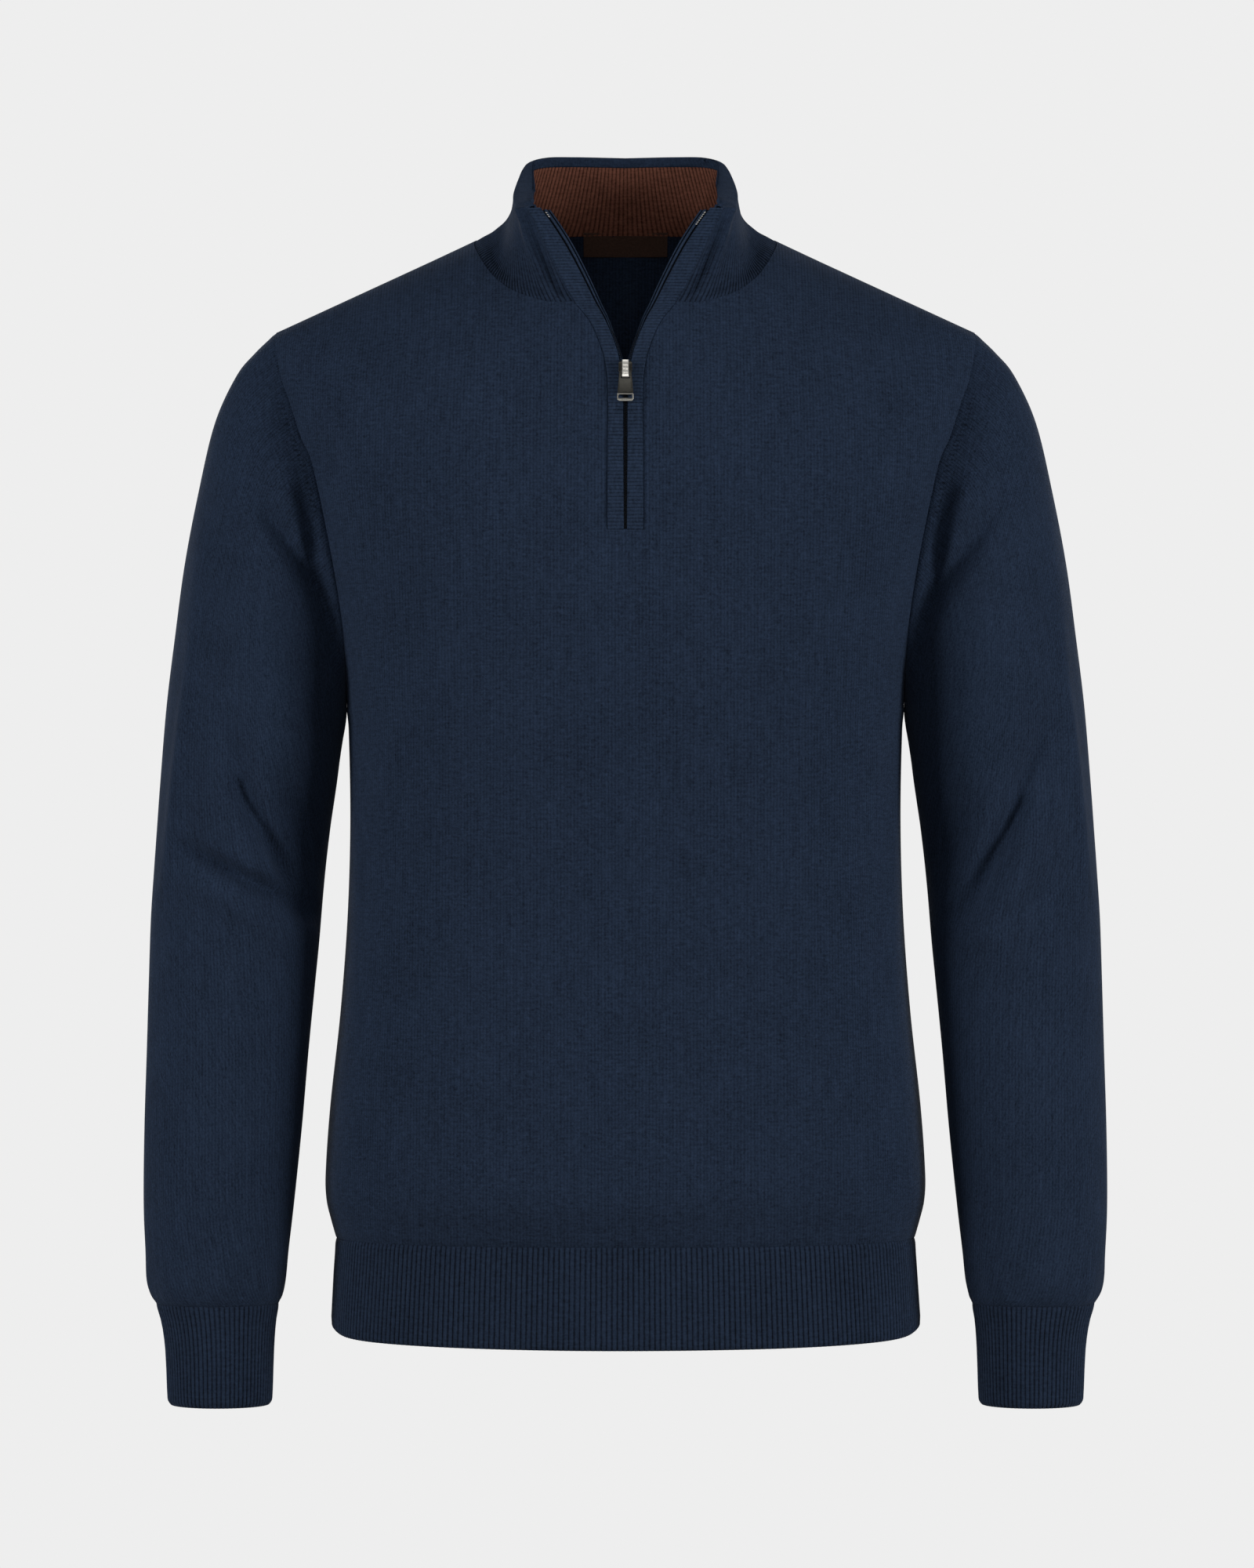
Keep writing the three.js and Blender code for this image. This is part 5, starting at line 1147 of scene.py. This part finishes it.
def makeSliderBody():
    thick = zipForm["thick"]
    obj = startBlock("slider_plate", (8.2, thick, 10), (0, -thick / 2 - 0.3, 0))
    cutAt(2, [-4.2, -0.8, 1.6, 4.1])
    taper(obj, -5, -0.8, 0.62, 1)
    selectWhere(obj, lambda c: c.z > 4.9)
    widen(0.8, 1, 1, about=(0, 0, 5 * mm))
    leaveEdit()
    selectWhere(obj, lambda c, n: n.y < -0.9 and abs(c.z) < 4, "FACE")
    inset(0.5, -0.25)
    leaveEdit()
    return finishHard(obj, 0.22, gunmetal, seat, "garment", "slider_body")


def makeBridge():
    foot = zipForm["thick"] + 0.6
    wide = zipForm["bridgeWide"]
    obj = startBlock("slider_arch", (wide, 0.95, 10.9), (0, -(foot + 2.42), -0.55))
    cutAt(2, [-4.7, -3.4, -2.1, -0.8, 0.5, 1.6, 2.8])
    cutAt(0, [-1.1, 1.1])
    selectWhere(obj, lambda c, n: n.y > 0.9 and (c.z < -4.7 or c.z > 2.8), "FACE")
    bpy.ops.mesh.extrude_region_move(TRANSFORM_OT_translate={"value": (0, 1.95 * mm, 0)})
    for low, high in ((-4.7, -3.4), (-2.1, -0.8), (0.5, 1.6)):
        selectWhere(obj, lambda c, n: n.y < -0.9 and abs(c.x) < 1 and low < c.z < high, "FACE")
        inset(0.18, -0.4)
    selectWhere(obj, lambda c: c.y < -(foot + 2.5) and abs(c.z + 0.55) > 5.2)
    bpy.ops.transform.translate(value=(0, 0.5 * mm, 0))
    leaveEdit()
    return finishHard(obj, 0.16, brightMetal, seat, "garment", "slider_bridge")


def makePullTab():
    top = zipForm["hingeUp"] + 0.5
    out = zipForm["hingeOut"]
    obj = startBlock("zip_pull", (2, zipForm["tabThick"], top + 15.6), (0, -out, (top - 15.6) / 2))
    hingeZ = zipForm["hingeUp"]
    cutAt(2, [-15.1, hingeZ - 4.6, hingeZ - 0.5, hingeZ + 0.2])
    cutAt(0, [-0.64, 0.64])
    taper(obj, -15.6, top, 4.75, 3.6)
    selectWhere(obj, lambda c: c.z > top - 0.01 or c.z < -15.5)
    widen(0.9, 1, 1)
    leaveEdit()
    punch(obj, lambda c: abs(c.x) < 1.5 and hingeZ - 4.6 < c.z < hingeZ - 0.5)
    selectWhere(obj, lambda c, n: n.y < -0.9 and c.z < hingeZ - 4.7, "FACE")
    inset(0.45, -0.14)
    leaveEdit()
    return finishHard(obj, 0.16, gunmetal, leaned, "pull", "pull_tab")


def makePullEnd():
    out = zipForm["hingeOut"]
    thick = zipForm["tabThick"] + 0.3
    obj = startBlock("pull_stirrup", (9.9, thick, 4.8), (0, -out, -18.3))
    cutAt(2, [-19.7, -18.9, -16.6])
    cutAt(0, [-4.15, 4.15])
    selectWhere(obj, lambda c: c.z < -20.5)
    widen(0.79, 1, 1)
    selectWhere(obj, lambda c: abs(c.z + 19.7) < 0.05)
    widen(0.95, 1, 1)
    leaveEdit()
    punch(obj, lambda c: abs(c.x) < 3 and -18.9 < c.z < -16.6)
    return finishHard(obj, 0.28, wornMetal, leaned, "pull", "pull_end")


makeSliderBody()
makeBridge()
makePullTab()
makePullEnd()
print("slider and pull made")

# Teeth: one is modelled, then copied down both tapes.
toothForm = {"pitch": 1.45, "size": (1.3, 0.8, 0.85), "deep": -1.35, "closedDeep": -1.9, "stagger": 0.7,
             "topOut": 1.75, "topSlide": 0.75, "sliderLow": -101, "sliderHigh": -82}


def toothShape():
    obj = startBlock("tooth_pattern", toothForm["size"], (0, 0, 0))
    selectWhere(obj, lambda c: c.x > 0)
    widen(1, 0.8, 0.62, about=(0.7 * mm, 0, 0))
    bpy.ops.mesh.select_all(action="SELECT")
    bpy.ops.mesh.bevel(offset=0.12 * mm, segments=1, affect="EDGES")
    leaveEdit()
    return obj


def makeTeeth():
    pattern = toothShape()
    corners = np.array([v.co[:] for v in pattern.data.vertices])
    faces = [list(p.vertices) for p in pattern.data.polygons]
    bpy.data.objects.remove(pattern)
    for name, side, low, high, material, slot in (
            ("right_teeth", -1, 0.002, 0.93, blackMetal, "dark_metal"),
            ("left_teeth", 1, 0.002, 0.89, blackMetal, "dark_metal"),
            ("right_top_teeth", -1, 0.945, 0.975, brightMetal, "bright_metal"),
            ("left_top_teeth", 1, 0.90, 0.975, brightMetal, "bright_metal")):
        fine, run = evenUpBand(2400, low, high)
        count = max(3, int(run[-1] / toothForm["pitch"]))
        shift = toothForm["stagger"] if side > 0 else 0
        spots = np.interp(np.arange(count) * toothForm["pitch"] + shift, run, fine)
        reach = tapeReach(spots)
        open_ = climb(reach - 1.3, 2.2)
        slide = mix(reach - 0.1, 0.12 * reach, open_)
        deep = mix(toothForm["closedDeep"], toothForm["deep"], open_)
        if "top" in name:
            deep, slide = deep + toothForm["topOut"], slide + toothForm["topSlide"]
        origin = bandPoints(side, spots, 1.0, deep, slide)
        ahead = bandPoints(side, np.minimum(1, spots + 0.004), 1.0, deep, slide)
        over = bandPoints(side, spots, 1.0, deep, slide + 1)
        points, polygons = [], []
        for k in range(count):
            if toothForm["sliderLow"] < origin[k][2] < toothForm["sliderHigh"]:
                continue
            up = Vector(ahead[k] - origin[k]).normalized()
            across = Vector(over[k] - origin[k]).normalized()
            outward = across.cross(up).normalized()
            if outward.y > 0:
                outward.negate()
            start = len(points)
            for c in corners:
                spot = Vector(origin[k]) * mm + across * c[0] * mix(1, 0.8, open_[k]) + outward * c[1] + up * c[2]
                points.append(spot[:])
            polygons += [[start + i for i in face] for face in faces]
        mesh = bpy.data.meshes.new(name)
        mesh.from_pydata(points, [], polygons)
        obj = bpy.data.objects.new(name, mesh)
        bpy.context.scene.collection.objects.link(obj)
        useOnly(obj)
        editAll()
        bpy.ops.mesh.normals_make_consistent(inside=False)
        leaveEdit()
        mesh.materials.append(material)
        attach(obj, "garment")
        print("teeth made:", name, count)


makeTeeth()

# Studio: a pale floor that runs up behind, soft lights, and the photo's camera.
studio = {"pale": 0.855, "floorZ": -0.90, "reach": 9.0, "backY": 6.0, "wallTop": 5.0}


def paleStage():
    material, tree, shader = newMaterial("pale_stage")
    glow = addNode(tree, "Emission", {"Color": (studio["pale"], studio["pale"], studio["pale"], 1)})
    output = next(node for node in tree.nodes if node.type == "OUTPUT_MATERIAL")
    tree.links.new(glow.outputs[0], output.inputs["Surface"])
    tree.nodes.remove(shader)
    return material


def makeStage():
    bpy.ops.object.select_all(action="DESELECT")
    bpy.ops.mesh.primitive_plane_add(size=1)
    obj = bpy.context.object
    obj.name = "floor_and_backdrop"
    editAll()
    bpy.ops.transform.resize(value=(2 * studio["reach"], studio["reach"] + studio["backY"], 1))
    bpy.ops.transform.translate(value=(0, (studio["backY"] - studio["reach"]) / 2, studio["floorZ"]))
    leaveEdit()
    selectWhere(obj, lambda c: c.y > studio["backY"] / mm - 1)
    for k in range(12):
        angle = math.pi / 2 * (k + 0.5) / 12
        step = (0, 0.13 * math.cos(angle), 0.13 * math.sin(angle))
        bpy.ops.mesh.extrude_region_move(TRANSFORM_OT_translate={"value": step})
    bpy.ops.mesh.extrude_region_move(TRANSFORM_OT_translate={"value": (0, 0, studio["wallTop"])})
    leaveEdit()
    obj.data.materials.append(paleStage())
    bpy.ops.object.shade_smooth()
    obj.visible_diffuse = False
    obj.visible_shadow = False


makeStage()


def softLight(name, place, target, size, power):
    light = bpy.data.lights.new(name, "AREA")
    light.shape = "RECTANGLE"
    light.size, light.size_y = size
    light.energy = power
    obj = bpy.data.objects.new(name, light)
    obj.location = place
    obj.rotation_euler = (Vector(target) - Vector(place)).to_track_quat("-Z", "Y").to_euler()
    bpy.context.scene.collection.objects.link(obj)


for name, place, target, size, power in (
        ("left_box", (-2.7, -1.7, -0.05), (0, 0, -0.22), (0.9, 1.4), 64),
        ("right_box", (2.7, -1.7, -0.05), (0, 0, -0.22), (0.9, 1.4), 73),
        ("front_box", (0, -3.2, 0.3), (0, 0, -0.2), (1.0, 1.0), 19),
        ("top_box", (0, -0.7, 2.6), (0, 0, 0), (1.4, 1.0), 14),
        ("back_left_box", (-1.3, 3.0, 0.5), (0, 0, -0.3), (0.7, 1.0), 22),
        ("back_right_box", (1.3, 3.0, 0.5), (0, 0, -0.3), (0.7, 1.0), 22)):
    softLight(name, place, target, size, power)

world = bpy.data.worlds.new("studio_air")
world.use_nodes = True
world.node_tree.nodes["Background"].inputs["Color"].default_value = (0.9, 0.95, 1.0, 1)
world.node_tree.nodes["Background"].inputs["Strength"].default_value = 0.03
bpy.context.scene.world = world
bpy.context.scene.view_settings.view_transform = "Standard"

camera = bpy.data.cameras.new("photo_camera")
camera.lens = 148.45
camera.sensor_width = 36
camera.clip_end = 60
cameraObject = bpy.data.objects.new("photo_camera", camera)
cameraObject.location = (0.00097, -4.0, -0.338)
cameraObject.rotation_euler = (math.pi / 2, 0, 0)
bpy.context.scene.collection.objects.link(cameraObject)
bpy.context.scene.camera = cameraObject
print("stage, lights and camera set")
